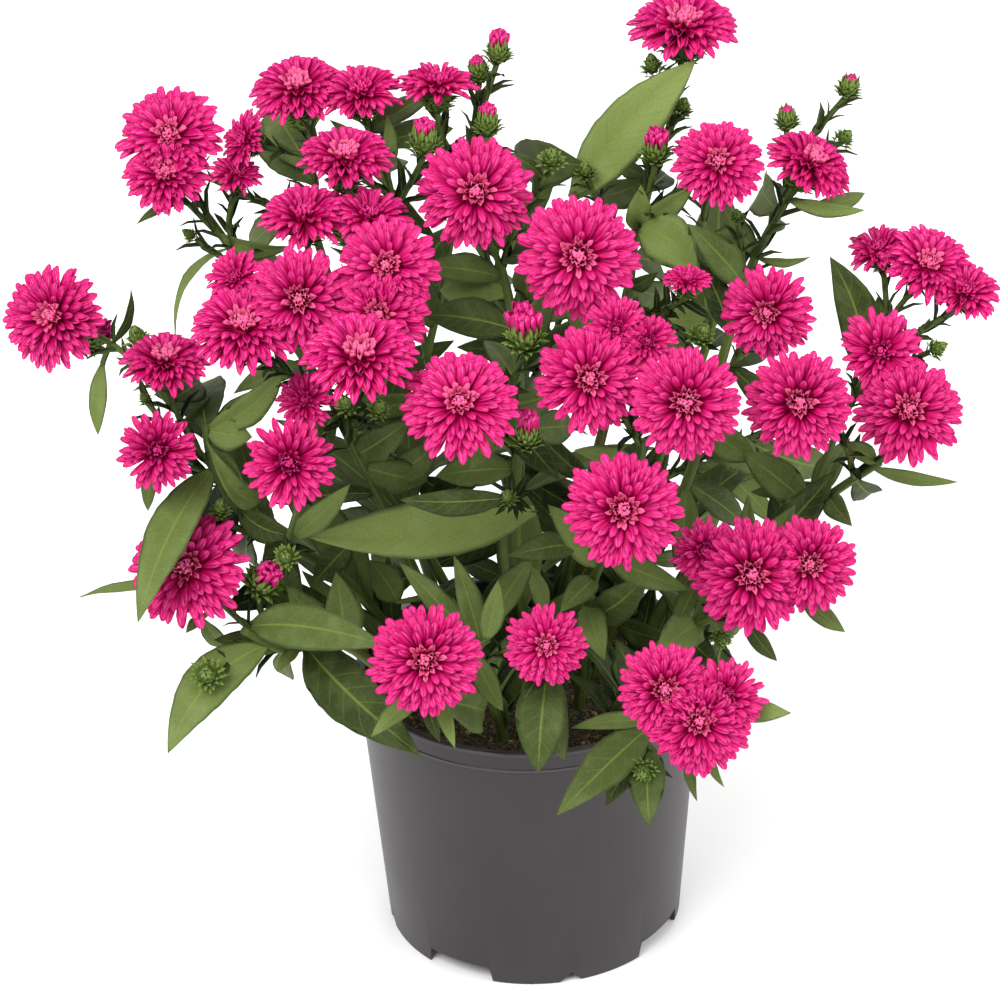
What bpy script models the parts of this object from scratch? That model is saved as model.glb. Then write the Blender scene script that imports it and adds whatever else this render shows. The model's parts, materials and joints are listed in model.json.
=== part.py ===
"""A potted aster: a 12 cm nursery pot of soil, with fourteen leafy stems and their double pink blooms.

Everything is in metres, +Z up. The origin is on the ground, under the middle of the whole plant.
Blooms, buds and the larger leaves are placed as the plant shows them from one viewpoint: a spot in a
picture 1000 wide and 986 high, and how far behind the pot's axis it lies.
"""

import math
import random
from collections import Counter, namedtuple

import bmesh
import bpy
import numpy as np
from mathutils import Quaternion, Vector

# The pot
POT_AXIS = Vector((0.0059, -0.0014, 0.0))
POT_HEIGHT = 0.1008
RIM_RADIUS = 0.0600
RIM_BAND = 0.0073
RIM_STEP = 0.0009
LIP_WIDTH = 0.0036
FOOT_RADIUS = 0.0515
WALL = 0.0015
BASE_PLATE_FROM = 0.0075
POT_STEPS = 24
SKIRT_PATTERN_TURN = 13.0
SKIRT_SLOT_HALF_WIDTH = 0.0138
SKIRT_SLOT_HEIGHT = 0.0062
SKIRT_NOTCH_HEIGHT = 0.0042
DRAIN_HOLES = 4
DRAIN_HOLE_RADIUS = 0.0038
DRAIN_RING_RADIUS = 0.0330

# The soil
SOIL_TOP = 0.0870
SOIL_WAVE = 0.0012
SOIL_COLUMNS = 16
STEM_HOLE_RADIUS = 0.0033
STEM_HOLE_FLOOR = 0.0750
FIT_GAP = 0.0003

# Stems, cups, buds, blooms and leaves
STEM_RADIUS = 0.0021
BRANCH_RADIUS = 0.0014
STALK_RADIUS = 0.0010
SOIL_CLEAR_HEIGHT = 0.0905
CUP_RADIUS_SHARE = 0.19
CUP_DEPTH_SHARE = 0.25
BLADE_THICKNESS = 0.0010
BLADE_SINK = 0.0003
PETALS = 7
TIP_SPREAD = 0.05
GROUP_STEP = 0.0002
LARGE_LEAF = 0.046
SPOTS_PER_METRE = 2860.0
NEAR_SIDE = 0.05

# The viewpoint of the picture
VIEW_POINT = POT_AXIS + Vector((-0.0084, -1.3490, 0.9495))
VIEW_PITCH = 0.5252
VIEW_ROLL = 0.0281
VIEW_FOCUS = 4606.0
VIEW_MIDDLE = Vector((500.0, 493.0))

LEVEL_UP = Vector((0.0, math.sin(VIEW_PITCH), math.cos(VIEW_PITCH)))
FORWARD = Vector((0.0, math.cos(VIEW_PITCH), -math.sin(VIEW_PITCH)))
RIGHT = Vector((math.cos(VIEW_ROLL), 0.0, 0.0)) - LEVEL_UP * math.sin(VIEW_ROLL)
UP = Vector((math.sin(VIEW_ROLL), 0.0, 0.0)) + LEVEL_UP * math.cos(VIEW_ROLL)

# Each stem: where it stands in the soil, from the pot's axis, and its branches as spots and depths.
STEMS = {
    "stem_upper_left": (
        (-0.014, 0.012),
        (((420, 540), 0.004), ((318, 380), 0.010), ((240, 262), 0.016), ((206, 214), 0.020)),
        (((432, 400), 0.020), ((402, 240), 0.020), ((385, 165), 0.020)),
        (((446, 270), 0.024), ((464, 150), 0.030)),
    ),
    "stem_left_cluster": (
        (-0.021, -0.004),
        (((400, 540), -0.020), ((345, 430), -0.035), ((325, 385), -0.042)),
    ),
    "stem_left": (
        (-0.035, 0.006),
        (((345, 580), -0.020), ((250, 520), -0.032), ((214, 468), -0.036), ((206, 425), -0.036)),
        (((290, 535), -0.055), ((300, 500), -0.066)),
    ),
    "stem_low_left": (
        (-0.036, -0.013),
        (((345, 645), -0.036), ((285, 650), -0.050), ((243, 630), -0.056)),
    ),
    "stem_front": (
        (-0.010, -0.030),
        (((480, 655), -0.066), ((487, 640), -0.074)),
    ),
    "stem_middle": (
        (0.000, 0.000),
        (((512, 540), -0.026), ((520, 430), -0.036), ((515, 330), -0.034), ((500, 262), -0.020)),
    ),
    "stem_middle_right": (
        (0.017, -0.009),
        (((590, 590), -0.034), ((632, 500), -0.052), ((642, 440), -0.056)),
    ),
    "stem_top": (
        (0.007, 0.019),
        (((585, 500), 0.010), ((622, 350), 0.006), ((636, 230), 0.010), ((668, 130), 0.026)),
    ),
    "stem_top_right": (
        (0.023, 0.012),
        (((680, 500), 0.000), ((722, 360), -0.008), ((752, 265), 0.000), ((784, 205), 0.012)),
    ),
    "stem_right": (
        (0.037, 0.003),
        (((740, 570), -0.016), ((812, 508), -0.028), ((880, 462), -0.034)),
        (((838, 430), -0.014), ((880, 345), -0.006)),
    ),
    "stem_low_right": (
        (0.027, -0.025),
        (((655, 650), -0.056), ((712, 618), -0.064)),
        (((650, 715), -0.076), ((668, 716), -0.084)),
    ),
    "stem_back_left": (
        (-0.027, 0.027),
        (((395, 470), 0.050), ((345, 330), 0.062), ((310, 215), 0.066)),
    ),
    "stem_back": (
        (-0.004, 0.037),
        (((520, 450), 0.062), ((528, 330), 0.074), ((530, 270), 0.082)),
    ),
    "stem_back_right": (
        (0.027, 0.031),
        (((655, 470), 0.052), ((705, 350), 0.060), ((722, 260), 0.066)),
    ),
}

# A bloom's turn is how far it faces right of the viewpoint and above it, in degrees. With no depth it
# lies in one plane with the bloom before it, and faces the same way.
Bloom = namedtuple("Bloom", "node stem spot depth across turn layers")
BLOOMS = (
    Bloom("bloom_crown", "stem_top", (683, 36), 0.038, 0.040, (0, 50), 3),
    Bloom("bloom_upper_left", "stem_upper_left", (172, 140), 0.020, 0.039, (-8, 20), 3),
    Bloom("bloom_upper_left", "stem_upper_left", (168, 178), None, 0.031, None, 3),
    Bloom("bloom_tucked_left", "stem_upper_left", (236, 178), 0.008, 0.020, (15, 45), 2),
    Bloom("bloom_tucked_left", "stem_upper_left", (250, 142), 0.014, 0.022, (-50, 15), 2),
    Bloom("bloom_top_left", "stem_upper_left", (299, 96), 0.028, 0.036, (-10, 48), 3),
    Bloom("bloom_top_left", "stem_upper_left", (362, 100), None, 0.031, None, 2),
    Bloom("bloom_top", "stem_upper_left", (438, 92), 0.020, 0.029, (5, 62), 2),
    Bloom("bloom_high_left", "stem_upper_left", (345, 166), -0.010, 0.034, (0, 50), 3),
    Bloom("bloom_cluster_top", "stem_left_cluster", (305, 224), -0.028, 0.032, (-5, 45), 2),
    Bloom("bloom_cluster_top", "stem_left_cluster", (370, 223), -0.028, 0.029, (5, 48), 2),
    Bloom("bloom_cluster_middle", "stem_left_cluster", (388, 268), -0.062, 0.036, (-6, 8), 3),
    Bloom("bloom_cluster_middle", "stem_left_cluster", (380, 318), None, 0.035, None, 3),
    Bloom("bloom_cluster_middle", "stem_left_cluster", (300, 300), -0.066, 0.037, (0, 0), 3),
    Bloom("bloom_cluster_middle", "stem_left_cluster", (238, 280), -0.052, 0.022, (-20, 20), 2),
    Bloom("bloom_cluster_middle", "stem_left_cluster", (243, 333), -0.070, 0.037, (0, 35), 3),
    Bloom("bloom_cluster_front", "stem_left_cluster", (360, 365), -0.098, 0.040, (0, 42), 3),
    Bloom("bloom_left", "stem_left", (165, 369), -0.034, 0.032, (0, 52), 3),
    Bloom("bloom_far_left", "stem_left", (57, 318), 0.000, 0.038, (-18, 5), 3),
    Bloom("bloom_left_low", "stem_left", (158, 450), -0.052, 0.029, (0, -3), 2),
    Bloom("bloom_left_front", "stem_left", (290, 463), -0.088, 0.032, (0, 0), 2),
    Bloom("bloom_left_hidden", "stem_left", (308, 402), -0.064, 0.022, (-20, 10), 2),
    Bloom("bloom_low_left", "stem_low_left", (190, 570), -0.050, 0.044, (-10, 12), 3),
    Bloom("bloom_front", "stem_front", (425, 660), -0.104, 0.040, (2, 0), 3),
    Bloom("bloom_front_small", "stem_front", (546, 645), -0.094, 0.029, (0, 0), 3),
    Bloom("bloom_middle_top", "stem_middle", (475, 195), -0.034, 0.041, (3, 8), 3),
    Bloom("bloom_middle_high", "stem_middle", (578, 257), -0.060, 0.043, (0, 0), 3),
    Bloom("bloom_middle", "stem_middle", (460, 408), -0.104, 0.040, (0, 20), 3),
    Bloom("bloom_middle_right", "stem_middle_right", (588, 380), -0.084, 0.038, (3, 3), 3),
    Bloom("bloom_middle_right", "stem_middle_right", (616, 330), None, 0.024, None, 2),
    Bloom("bloom_middle_right", "stem_middle_right", (646, 342), None, 0.021, None, 2),
    Bloom("bloom_right_middle", "stem_middle_right", (685, 403), -0.094, 0.039, (0, 0), 3),
    Bloom("bloom_right_front", "stem_middle_right", (622, 510), -0.106, 0.041, (2, 0), 3),
    Bloom("bloom_high_right", "stem_top", (718, 166), -0.010, 0.033, (0, 15), 3),
    Bloom("bloom_small_right", "stem_top", (687, 285), -0.052, 0.018, (0, 55), 2),
    Bloom("bloom_upper_right", "stem_top_right", (806, 170), -0.002, 0.033, (35, 45), 3),
    Bloom("bloom_inner_right", "stem_top_right", (768, 312), -0.048, 0.033, (-10, -5), 3),
    Bloom("bloom_right", "stem_right", (798, 405), -0.076, 0.038, (0, 5), 3),
    Bloom("bloom_far_right", "stem_right", (908, 413), -0.044, 0.039, (0, 10), 3),
    Bloom("bloom_far_right", "stem_right", (880, 354), None, 0.031, None, 2),
    Bloom("bloom_edge_right", "stem_right", (880, 256), 0.008, 0.024, (-20, 45), 2),
    Bloom("bloom_edge_right", "stem_right", (925, 270), 0.002, 0.034, (14, 32), 3),
    Bloom("bloom_edge_right", "stem_right", (963, 297), None, 0.026, None, 2),
    Bloom("bloom_low_right", "stem_low_right", (750, 575), -0.086, 0.042, (3, 0), 3),
    Bloom("bloom_low_right", "stem_low_right", (808, 564), None, 0.034, None, 3),
    Bloom("bloom_low_right", "stem_low_right", (704, 551), None, 0.024, None, 2),
    Bloom("bloom_front_right", "stem_low_right", (698, 722), -0.119, 0.037, (2, 3), 3),
    Bloom("bloom_front_right", "stem_low_right", (664, 690), None, 0.034, None, 3),
    Bloom("bloom_front_right", "stem_low_right", (724, 698), None, 0.029, None, 2),
    Bloom("bloom_back_1", "stem_back_left", (184, 152), 0.062, 0.034, None, 2),
    Bloom("bloom_back_2", "stem_back_left", (300, 108), 0.080, 0.034, None, 2),
    Bloom("bloom_back_3", "stem_back_left", (345, 222), 0.098, 0.036, None, 2),
    Bloom("bloom_back_4", "stem_back_left", (268, 318), 0.086, 0.034, None, 2),
    Bloom("bloom_back_5", "stem_back", (462, 200), 0.106, 0.036, None, 2),
    Bloom("bloom_back_6", "stem_back", (578, 264), 0.120, 0.038, None, 2),
    Bloom("bloom_back_7", "stem_back", (462, 402), 0.112, 0.034, None, 2),
    Bloom("bloom_back_8", "stem_back", (598, 398), 0.118, 0.034, None, 2),
    Bloom("bloom_back_9", "stem_back_right", (712, 172), 0.092, 0.036, None, 2),
    Bloom("bloom_back_10", "stem_back_right", (692, 400), 0.104, 0.032, None, 2),
    Bloom("bloom_back_11", "stem_back_right", (768, 318), 0.090, 0.034, None, 2),
    Bloom("bloom_back_12", "stem_back_right", (800, 408), 0.064, 0.032, None, 2),
)

Bud = namedtuple("Bud", "stem spot depth across turn")
BUDS = (
    Bud("stem_upper_left", (498, 50), 0.034, 0.010, (10, 60)),
    Bud("stem_upper_left", (478, 70), 0.036, 0.009, (-10, 55)),
    Bud("stem_upper_left", (488, 122), 0.014, 0.010, (0, 65)),
    Bud("stem_upper_left", (424, 140), 0.000, 0.012, (0, 60)),
    Bud("stem_upper_left", (189, 234), 0.018, 0.006, (-60, 30)),
    Bud("stem_left", (92, 338), 0.010, 0.012, (40, 30)),
    Bud("stem_left", (137, 337), -0.012, 0.010, (-20, 50)),
    Bud("stem_left", (144, 398), -0.036, 0.005, (-40, 40)),
    Bud("stem_left", (220, 508), -0.044, 0.008, (0, 50)),
    Bud("stem_left", (286, 556), -0.066, 0.009, (0, 10)),
    Bud("stem_low_left", (207, 674), -0.072, 0.012, (0, 8)),
    Bud("stem_low_left", (264, 580), -0.046, 0.014, (20, 20)),
    Bud("stem_left_cluster", (346, 404), -0.074, 0.008, (-10, 30)),
    Bud("stem_left_cluster", (379, 408), -0.070, 0.008, (10, 30)),
    Bud("stem_middle", (525, 335), -0.074, 0.014, (-5, 40)),
    Bud("stem_middle", (527, 435), -0.090, 0.011, (0, 50)),
    Bud("stem_middle", (507, 497), -0.078, 0.007, (-10, 30)),
    Bud("stem_middle", (551, 158), -0.006, 0.010, (0, 35)),
    Bud("stem_top", (585, 170), 0.004, 0.008, (-10, 40)),
    Bud("stem_top", (652, 64), 0.034, 0.009, (-15, 50)),
    Bud("stem_top", (682, 105), 0.028, 0.008, (20, 35)),
    Bud("stem_top", (656, 150), 0.000, 0.011, (0, 50)),
    Bud("stem_top", (702, 333), -0.050, 0.010, (10, 30)),
    Bud("stem_top_right", (737, 215), -0.006, 0.006, (-10, 40)),
    Bud("stem_top_right", (787, 118), 0.028, 0.009, (0, 60)),
    Bud("stem_top_right", (849, 86), 0.030, 0.009, (20, 50)),
    Bud("stem_top_right", (845, 137), 0.026, 0.008, (30, 30)),
    Bud("stem_right", (938, 348), -0.022, 0.008, (50, 20)),
    Bud("stem_low_right", (643, 772), -0.098, 0.009, (-10, -20)),
    Bud("stem_low_right", (722, 640), -0.066, 0.008, (10, -20)),
)

# A leaf's lean is how much farther back its tip lies than its base. Its roll turns its face away from
# the viewpoint, in degrees. Its arch lifts its middle along its face, and its sway bends it sideways.
Leaf = namedtuple("Leaf", "stem base tip lean width roll arch sway")
LEAVES = (
    Leaf("stem_upper_left", (218, 231), (291, 246), 0.000, 0.008, 40, 0.005, 0.000),
    Leaf("stem_upper_left", (228, 252), (175, 335), -0.010, 0.006, 60, 0.002, 0.009),
    Leaf("stem_upper_left", (178, 205), (137, 224), -0.004, 0.004, 30, 0.002, 0.000),
    Leaf("stem_upper_left", (428, 330), (398, 262), -0.004, 0.012, 30, 0.003, 0.000),
    Leaf("stem_upper_left", (390, 190), (330, 120), 0.004, 0.0080, 30, 0.003, 0.000),
    Leaf("stem_upper_left", (388, 168), (386, 114), 0.002, 0.0060, 30, 0.002, 0.000),
    Leaf("stem_upper_left", (455, 190), (428, 118), 0.004, 0.0070, 30, 0.002, 0.000),
    Leaf("stem_left", (102, 345), (131, 290), 0.006, 0.005, 50, 0.003, 0.000),
    Leaf("stem_left", (103, 362), (98, 435), -0.004, 0.0065, 20, 0.002, 0.000),
    Leaf("stem_left", (205, 430), (284, 368), 0.004, 0.011, 25, 0.003, 0.002),
    Leaf("stem_left", (262, 500), (207, 442), -0.014, 0.009, 30, 0.004, -0.007),
    Leaf("stem_left", (216, 446), (246, 490), -0.010, 0.008, 10, 0.002, 0.000),
    Leaf("stem_left", (207, 426), (252, 437), 0.000, 0.0110, 10, 0.002, 0.000),
    Leaf("stem_left", (216, 468), (138, 622), -0.046, 0.0150, 15, 0.006, 0.002),
    Leaf("stem_left", (240, 500), (300, 536), -0.012, 0.010, 20, 0.003, 0.002),
    Leaf("stem_left", (296, 538), (350, 484), -0.006, 0.009, 20, 0.002, 0.000),
    Leaf("stem_left", (158, 465), (148, 511), -0.004, 0.006, 30, 0.002, 0.000),
    Leaf("stem_left_cluster", (350, 545), (312, 585), -0.018, 0.010, 10, 0.002, 0.000),
    Leaf("stem_left_cluster", (385, 480), (440, 440), 0.004, 0.012, 20, 0.003, 0.000),
    Leaf("stem_left_cluster", (360, 455), (410, 420), -0.012, 0.012, 10, 0.003, 0.000),
    Leaf("stem_left_cluster", (366, 472), (428, 480), 0.004, 0.0120, 15, 0.003, 0.000),
    Leaf("stem_left_cluster", (398, 602), (370, 560), 0.004, 0.0120, 10, 0.003, 0.000),
    Leaf("stem_low_left", (250, 628), (386, 646), -0.034, 0.0155, 5, 0.004, -0.003),
    Leaf("stem_low_left", (290, 655), (214, 640), 0.004, 0.009, 20, 0.002, 0.000),
    Leaf("stem_low_left", (266, 643), (168, 753), -0.030, 0.0165, 10, 0.004, 0.005),
    Leaf("stem_low_left", (300, 652), (277, 672), -0.014, 0.0045, 20, 0.001, 0.000),
    Leaf("stem_low_left", (310, 652), (420, 755), -0.052, 0.0195, 5, 0.006, 0.001),
    Leaf("stem_low_left", (202, 618), (186, 633), -0.006, 0.004, 20, 0.001, 0.000),
    Leaf("stem_low_left", (190, 590), (80, 597), 0.010, 0.006, 50, 0.003, 0.000),
    Leaf("stem_low_left", (330, 640), (286, 585), -0.008, 0.012, 10, 0.003, 0.000),
    Leaf("stem_low_left", (344, 646), (336, 572), -0.006, 0.0140, 10, 0.003, 0.000),
    Leaf("stem_front", (426, 690), (371, 737), -0.014, 0.0075, 20, 0.002, 0.000),
    Leaf("stem_front", (434, 692), (440, 742), -0.010, 0.0055, 20, 0.002, 0.000),
    Leaf("stem_front", (440, 694), (455, 748), -0.018, 0.0055, 10, 0.002, 0.000),
    Leaf("stem_front", (475, 660), (503, 711), -0.012, 0.0085, 10, 0.002, 0.000),
    Leaf("stem_front", (548, 668), (538, 773), -0.020, 0.0170, 5, 0.006, 0.000),
    Leaf("stem_front", (546, 668), (521, 705), -0.022, 0.007, 20, 0.002, 0.000),
    Leaf("stem_front", (488, 648), (454, 556), 0.012, 0.0085, 15, 0.002, 0.000),
    Leaf("stem_front", (482, 650), (399, 562), 0.010, 0.0090, 10, 0.002, 0.000),
    Leaf("stem_front", (490, 640), (498, 580), 0.006, 0.008, 15, 0.002, 0.000),
    Leaf("stem_front", (556, 660), (564, 760), -0.006, 0.0110, 15, 0.004, 0.000),
    Leaf("stem_middle", (535, 511), (308, 537), -0.020, 0.0200, 10, 0.004, -0.003),
    Leaf("stem_middle", (545, 612), (525, 560), -0.002, 0.007, 15, 0.002, 0.000),
    Leaf("stem_middle", (530, 560), (482, 640), -0.030, 0.010, 15, 0.003, 0.000),
    Leaf("stem_middle", (516, 430), (560, 480), -0.030, 0.010, 10, 0.003, 0.000),
    Leaf("stem_middle", (514, 330), (424, 315), 0.004, 0.0140, 20, 0.004, 0.000),
    Leaf("stem_middle", (505, 275), (424, 268), 0.010, 0.0110, 25, 0.003, 0.000),
    Leaf("stem_middle", (548, 170), (505, 153), 0.004, 0.005, 40, 0.002, 0.000),
    Leaf("stem_middle", (518, 400), (470, 470), -0.026, 0.011, 15, 0.003, 0.000),
    Leaf("stem_middle", (516, 466), (436, 476), 0.006, 0.0120, 15, 0.003, 0.000),
    Leaf("stem_middle", (508, 298), (440, 290), 0.016, 0.0130, 15, 0.003, 0.000),
    Leaf("stem_middle_right", (575, 545), (508, 556), -0.022, 0.0100, 15, 0.003, 0.000),
    Leaf("stem_middle_right", (578, 615), (650, 571), -0.026, 0.0125, 10, 0.003, 0.002),
    Leaf("stem_middle_right", (615, 560), (690, 590), -0.020, 0.0100, 15, 0.003, 0.000),
    Leaf("stem_middle_right", (590, 600), (605, 660), -0.026, 0.0110, 10, 0.003, 0.000),
    Leaf("stem_middle_right", (640, 470), (574, 450), -0.012, 0.008, 20, 0.002, 0.000),
    Leaf("stem_middle_right", (600, 562), (548, 505), -0.004, 0.0120, 10, 0.003, 0.000),
    Leaf("stem_middle_right", (600, 580), (560, 612), -0.020, 0.009, 10, 0.002, 0.000),
    Leaf("stem_top", (571, 199), (695, 61), 0.020, 0.0195, 12, 0.004, -0.003),
    Leaf("stem_top", (630, 225), (641, 185), -0.006, 0.009, 10, 0.002, 0.000),
    Leaf("stem_top", (637, 226), (699, 272), -0.014, 0.0175, 10, 0.005, -0.003),
    Leaf("stem_top", (645, 222), (694, 186), -0.004, 0.008, 20, 0.002, 0.000),
    Leaf("stem_top", (630, 290), (658, 272), -0.010, 0.006, 20, 0.002, 0.000),
    Leaf("stem_top", (634, 315), (706, 318), 0.004, 0.0130, 10, 0.003, 0.000),
    Leaf("stem_top", (618, 360), (560, 300), 0.010, 0.012, 20, 0.003, 0.000),
    Leaf("stem_top_right", (790, 203), (865, 210), -0.004, 0.0060, 25, 0.003, 0.000),
    Leaf("stem_top_right", (812, 205), (865, 193), 0.010, 0.006, 20, 0.003, 0.000),
    Leaf("stem_top_right", (754, 260), (810, 257), -0.004, 0.005, 50, 0.002, 0.000),
    Leaf("stem_top_right", (742, 290), (704, 240), 0.004, 0.007, 20, 0.002, 0.000),
    Leaf("stem_top_right", (745, 282), (688, 224), -0.004, 0.0120, 15, 0.003, 0.000),
    Leaf("stem_top_right", (756, 258), (722, 208), 0.006, 0.0070, 20, 0.002, 0.000),
    Leaf("stem_top_right", (704, 420), (762, 470), 0.012, 0.0130, 10, 0.003, 0.000),
    Leaf("stem_top_right", (728, 340), (700, 262), 0.008, 0.010, 20, 0.003, 0.000),
    Leaf("stem_top_right", (700, 430), (758, 460), -0.008, 0.012, 15, 0.003, 0.000),
    Leaf("stem_right", (860, 380), (830, 257), 0.004, 0.0150, 15, 0.002, 0.003),
    Leaf("stem_right", (890, 338), (878, 296), 0.010, 0.006, 20, 0.002, 0.000),
    Leaf("stem_right", (876, 466), (958, 482), -0.010, 0.0055, 30, 0.002, 0.000),
    Leaf("stem_right", (874, 464), (838, 444), -0.006, 0.007, 20, 0.002, 0.000),
    Leaf("stem_right", (828, 500), (852, 526), -0.014, 0.008, 10, 0.003, 0.000),
    Leaf("stem_right", (806, 508), (742, 452), 0.008, 0.0130, 10, 0.003, 0.000),
    Leaf("stem_right", (765, 548), (836, 470), -0.012, 0.0125, 10, 0.003, 0.000),
    Leaf("stem_right", (750, 560), (795, 505), -0.034, 0.0110, 10, 0.003, 0.000),
    Leaf("stem_right", (735, 575), (748, 495), -0.018, 0.0080, 15, 0.002, 0.000),
    Leaf("stem_low_right", (700, 625), (655, 655), -0.030, 0.0130, 10, 0.003, 0.000),
    Leaf("stem_low_right", (650, 690), (616, 640), 0.000, 0.0110, 15, 0.003, 0.000),
    Leaf("stem_low_right", (645, 725), (571, 728), -0.016, 0.0065, 20, 0.003, 0.000),
    Leaf("stem_low_right", (648, 728), (557, 815), -0.034, 0.0145, 5, 0.006, 0.000),
    Leaf("stem_low_right", (655, 745), (649, 827), -0.022, 0.0125, 5, 0.004, 0.000),
    Leaf("stem_low_right", (650, 735), (606, 806), -0.010, 0.0095, 10, 0.003, 0.000),
    Leaf("stem_low_right", (722, 700), (791, 713), -0.010, 0.0090, 15, 0.003, 0.000),
    Leaf("stem_low_right", (690, 745), (697, 801), -0.010, 0.0045, 30, 0.002, 0.000),
    Leaf("stem_low_right", (705, 740), (724, 787), -0.008, 0.0040, 30, 0.002, 0.000),
    Leaf("stem_low_right", (800, 590), (845, 632), -0.006, 0.0070, 15, 0.003, 0.000),
    Leaf("stem_low_right", (745, 620), (777, 661), -0.006, 0.0060, 15, 0.002, 0.000),
    Leaf("stem_low_right", (690, 640), (720, 668), -0.022, 0.010, 10, 0.002, 0.000),
)

# Rule for the leaves that fill the inside and the far side
FILL_SEED = 7
FILL_MIDDLE = Vector((552.0, 430.0))
FILL_HALF = Vector((262.0, 212.0))
FILL_PITCH = 23.0
FILL_REACH = 11.0
FILL_LENGTH = (0.034, 0.058)
FILL_WIDTH_SHARE = 0.29
FILL_LEANS = (0.0, -0.014, 0.016, -0.028, 0.032, 0.048)
FILL_LOWEST = 0.106
LEAF_GAP = 0.0042
OWN_LEAF_GAP = 0.0026
GOLDEN_TURN = math.radians(137.5)
FAR_EVERY = 0.009
FAR_FROM = 0.120
FAR_SIDE = 0.022
FAR_LENGTH = (0.044, 0.070)


def seen_at(spot, depth):
    """The point behind a spot of the picture, this far behind the pot's axis."""
    across = (spot[0] - VIEW_MIDDLE.x) / VIEW_FOCUS
    above = (VIEW_MIDDLE.y - spot[1]) / VIEW_FOCUS
    ray = FORWARD + RIGHT * across + UP * above
    return VIEW_POINT + ray * ((POT_AXIS.y + depth - VIEW_POINT.y) / ray.y)


def spot_of(point):
    """Where the picture shows this point."""
    out = point - VIEW_POINT
    away = out.dot(FORWARD)
    return VIEW_MIDDLE + Vector((out.dot(RIGHT), -out.dot(UP))) * (VIEW_FOCUS / away)


def facing(turn, place):
    """The way a bloom or bud faces. With no turn it faces out from the plant's heart."""
    if turn is None:
        return (place - POT_AXIS - Vector((0.0, 0.0, POT_HEIGHT))).normalized()
    right, up = (math.radians(angle) for angle in turn)
    level = math.cos(up)
    return RIGHT * (math.sin(right) * level) + UP * math.sin(up) - FORWARD * (math.cos(right) * level)


def smooth(points, steps):
    """A curve through the points, with this many steps from each to the next."""
    ends = [points[0] * 2 - points[1], *points, points[-1] * 2 - points[-2]]
    run = []
    for before, start, end, after in zip(ends, ends[1:], ends[2:], ends[3:]):
        for step in range(steps):
            t = step / steps
            run.append(
                0.5
                * (
                    start * 2
                    + (end - before) * t
                    + (before * 2 - start * 5 + end * 4 - after) * t * t
                    + (start * 3 - before - end * 3 + after) * t ** 3
                )
            )
    return [*run, points[-1].copy()]


def hook(start, start_way, end, end_way, steps):
    """A stalk's curve, which leaves along one way and arrives along another."""
    reach = (end - start).length
    one = start + start_way * (reach * 0.30)
    two = end - end_way * (reach * 0.38)
    run = []
    for step in range(steps + 1):
        t = step / steps
        u = 1 - t
        run.append(start * u ** 3 + one * (3 * u * u * t) + two * (3 * u * t * t) + end * t ** 3)
    return run


Tube = namedtuple("Tube", "points radii sides")
Blade = namedtuple("Blade", "base tip face width arch sway")
Head = namedtuple("Head", "place way across")


class Plant:
    """One leafy stem's tubes, blades, cups and buds, as places and sizes."""

    def __init__(self, root, branches):
        self.tubes = []
        self.blades = []
        self.buds = []
        foot = POT_AXIS + Vector((*root, STEM_HOLE_FLOOR + FIT_GAP))
        clear = Vector((foot.x, foot.y, SOIL_CLEAR_HEIGHT))
        for number, branch in enumerate(branches):
            way = [seen_at(spot, depth) for spot, depth in branch]
            if number == 0:
                run = [foot, *smooth([clear, *way], 2)]
                self.add_tube(run, STEM_RADIUS, BRANCH_RADIUS, 4)
            else:
                start, _ = self.nearest(way[0] - Vector((0.0, 0.0, 0.030)))
                self.add_tube(smooth([start, *way], 2), BRANCH_RADIUS, STALK_RADIUS, 4)

    def add_tube(self, points, first, last, sides):
        count = len(points) - 1
        radii = [first + (last - first) * i / count for i in range(count + 1)]
        self.tubes.append(Tube(points, radii, sides))

    def marks(self):
        """Points along every tube above the soil and below its cup, each with the way the tube runs there."""
        for tube in self.tubes:
            for start, end, radius in zip(tube.points, tube.points[1:], tube.radii[1:]):
                if end.z < SOIL_CLEAR_HEIGHT + 0.004 or radius > STEM_RADIUS:
                    continue
                for part in (0.0, 0.25, 0.5, 0.75):
                    spot = start.lerp(end, part)
                    if spot.z > SOIL_CLEAR_HEIGHT + 0.004:
                        yield spot, (end - start).normalized()

    def nearest(self, target):
        return min(self.marks(), key=lambda mark: (mark[0] - target).length)

    def nearest_seen(self, spot):
        return min(self.marks(), key=lambda mark: (spot_of(mark[0]) - Vector(spot)).length)

    def add_stalk(self, head, foot, profile):
        """A stalk from the nearest fork, which widens at its end into a bloom's cup or a bud."""
        end = head.place - head.way * foot
        start, way = self.nearest(end - head.way * 0.020 - Vector((0.0, 0.0, 0.016)))
        points = hook(start, way, end, head.way, 2)
        radii = [STALK_RADIUS * 1.15, STALK_RADIUS * 1.05, STALK_RADIUS]
        for height, radius in profile:
            points.append(head.place + head.way * height)
            radii.append(radius)
        self.tubes.append(Tube(points, radii, 4))

    def add_blade(self, leaf):
        start, _ = self.nearest_seen(leaf.base)
        depth = start.y - POT_AXIS.y
        base = seen_at(leaf.base, depth)
        if (spot_of(start) - Vector(leaf.base)).length < 14:
            base = start
        else:
            sunk = base + (seen_at(leaf.tip, depth) - base).normalized() * 0.003
            self.add_tube([start, base, sunk], STALK_RADIUS, STALK_RADIUS * 0.9, 4)
        tip = seen_at(leaf.tip, depth + leaf.lean)
        along = (tip - base).normalized()
        toward = VIEW_POINT - base
        face = (toward - along * toward.dot(along)).normalized()
        face = Quaternion(along, math.radians(leaf.roll)) @ face
        self.blades.append(Blade(base, tip, face, leaf.width, leaf.arch, leaf.sway))


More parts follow.
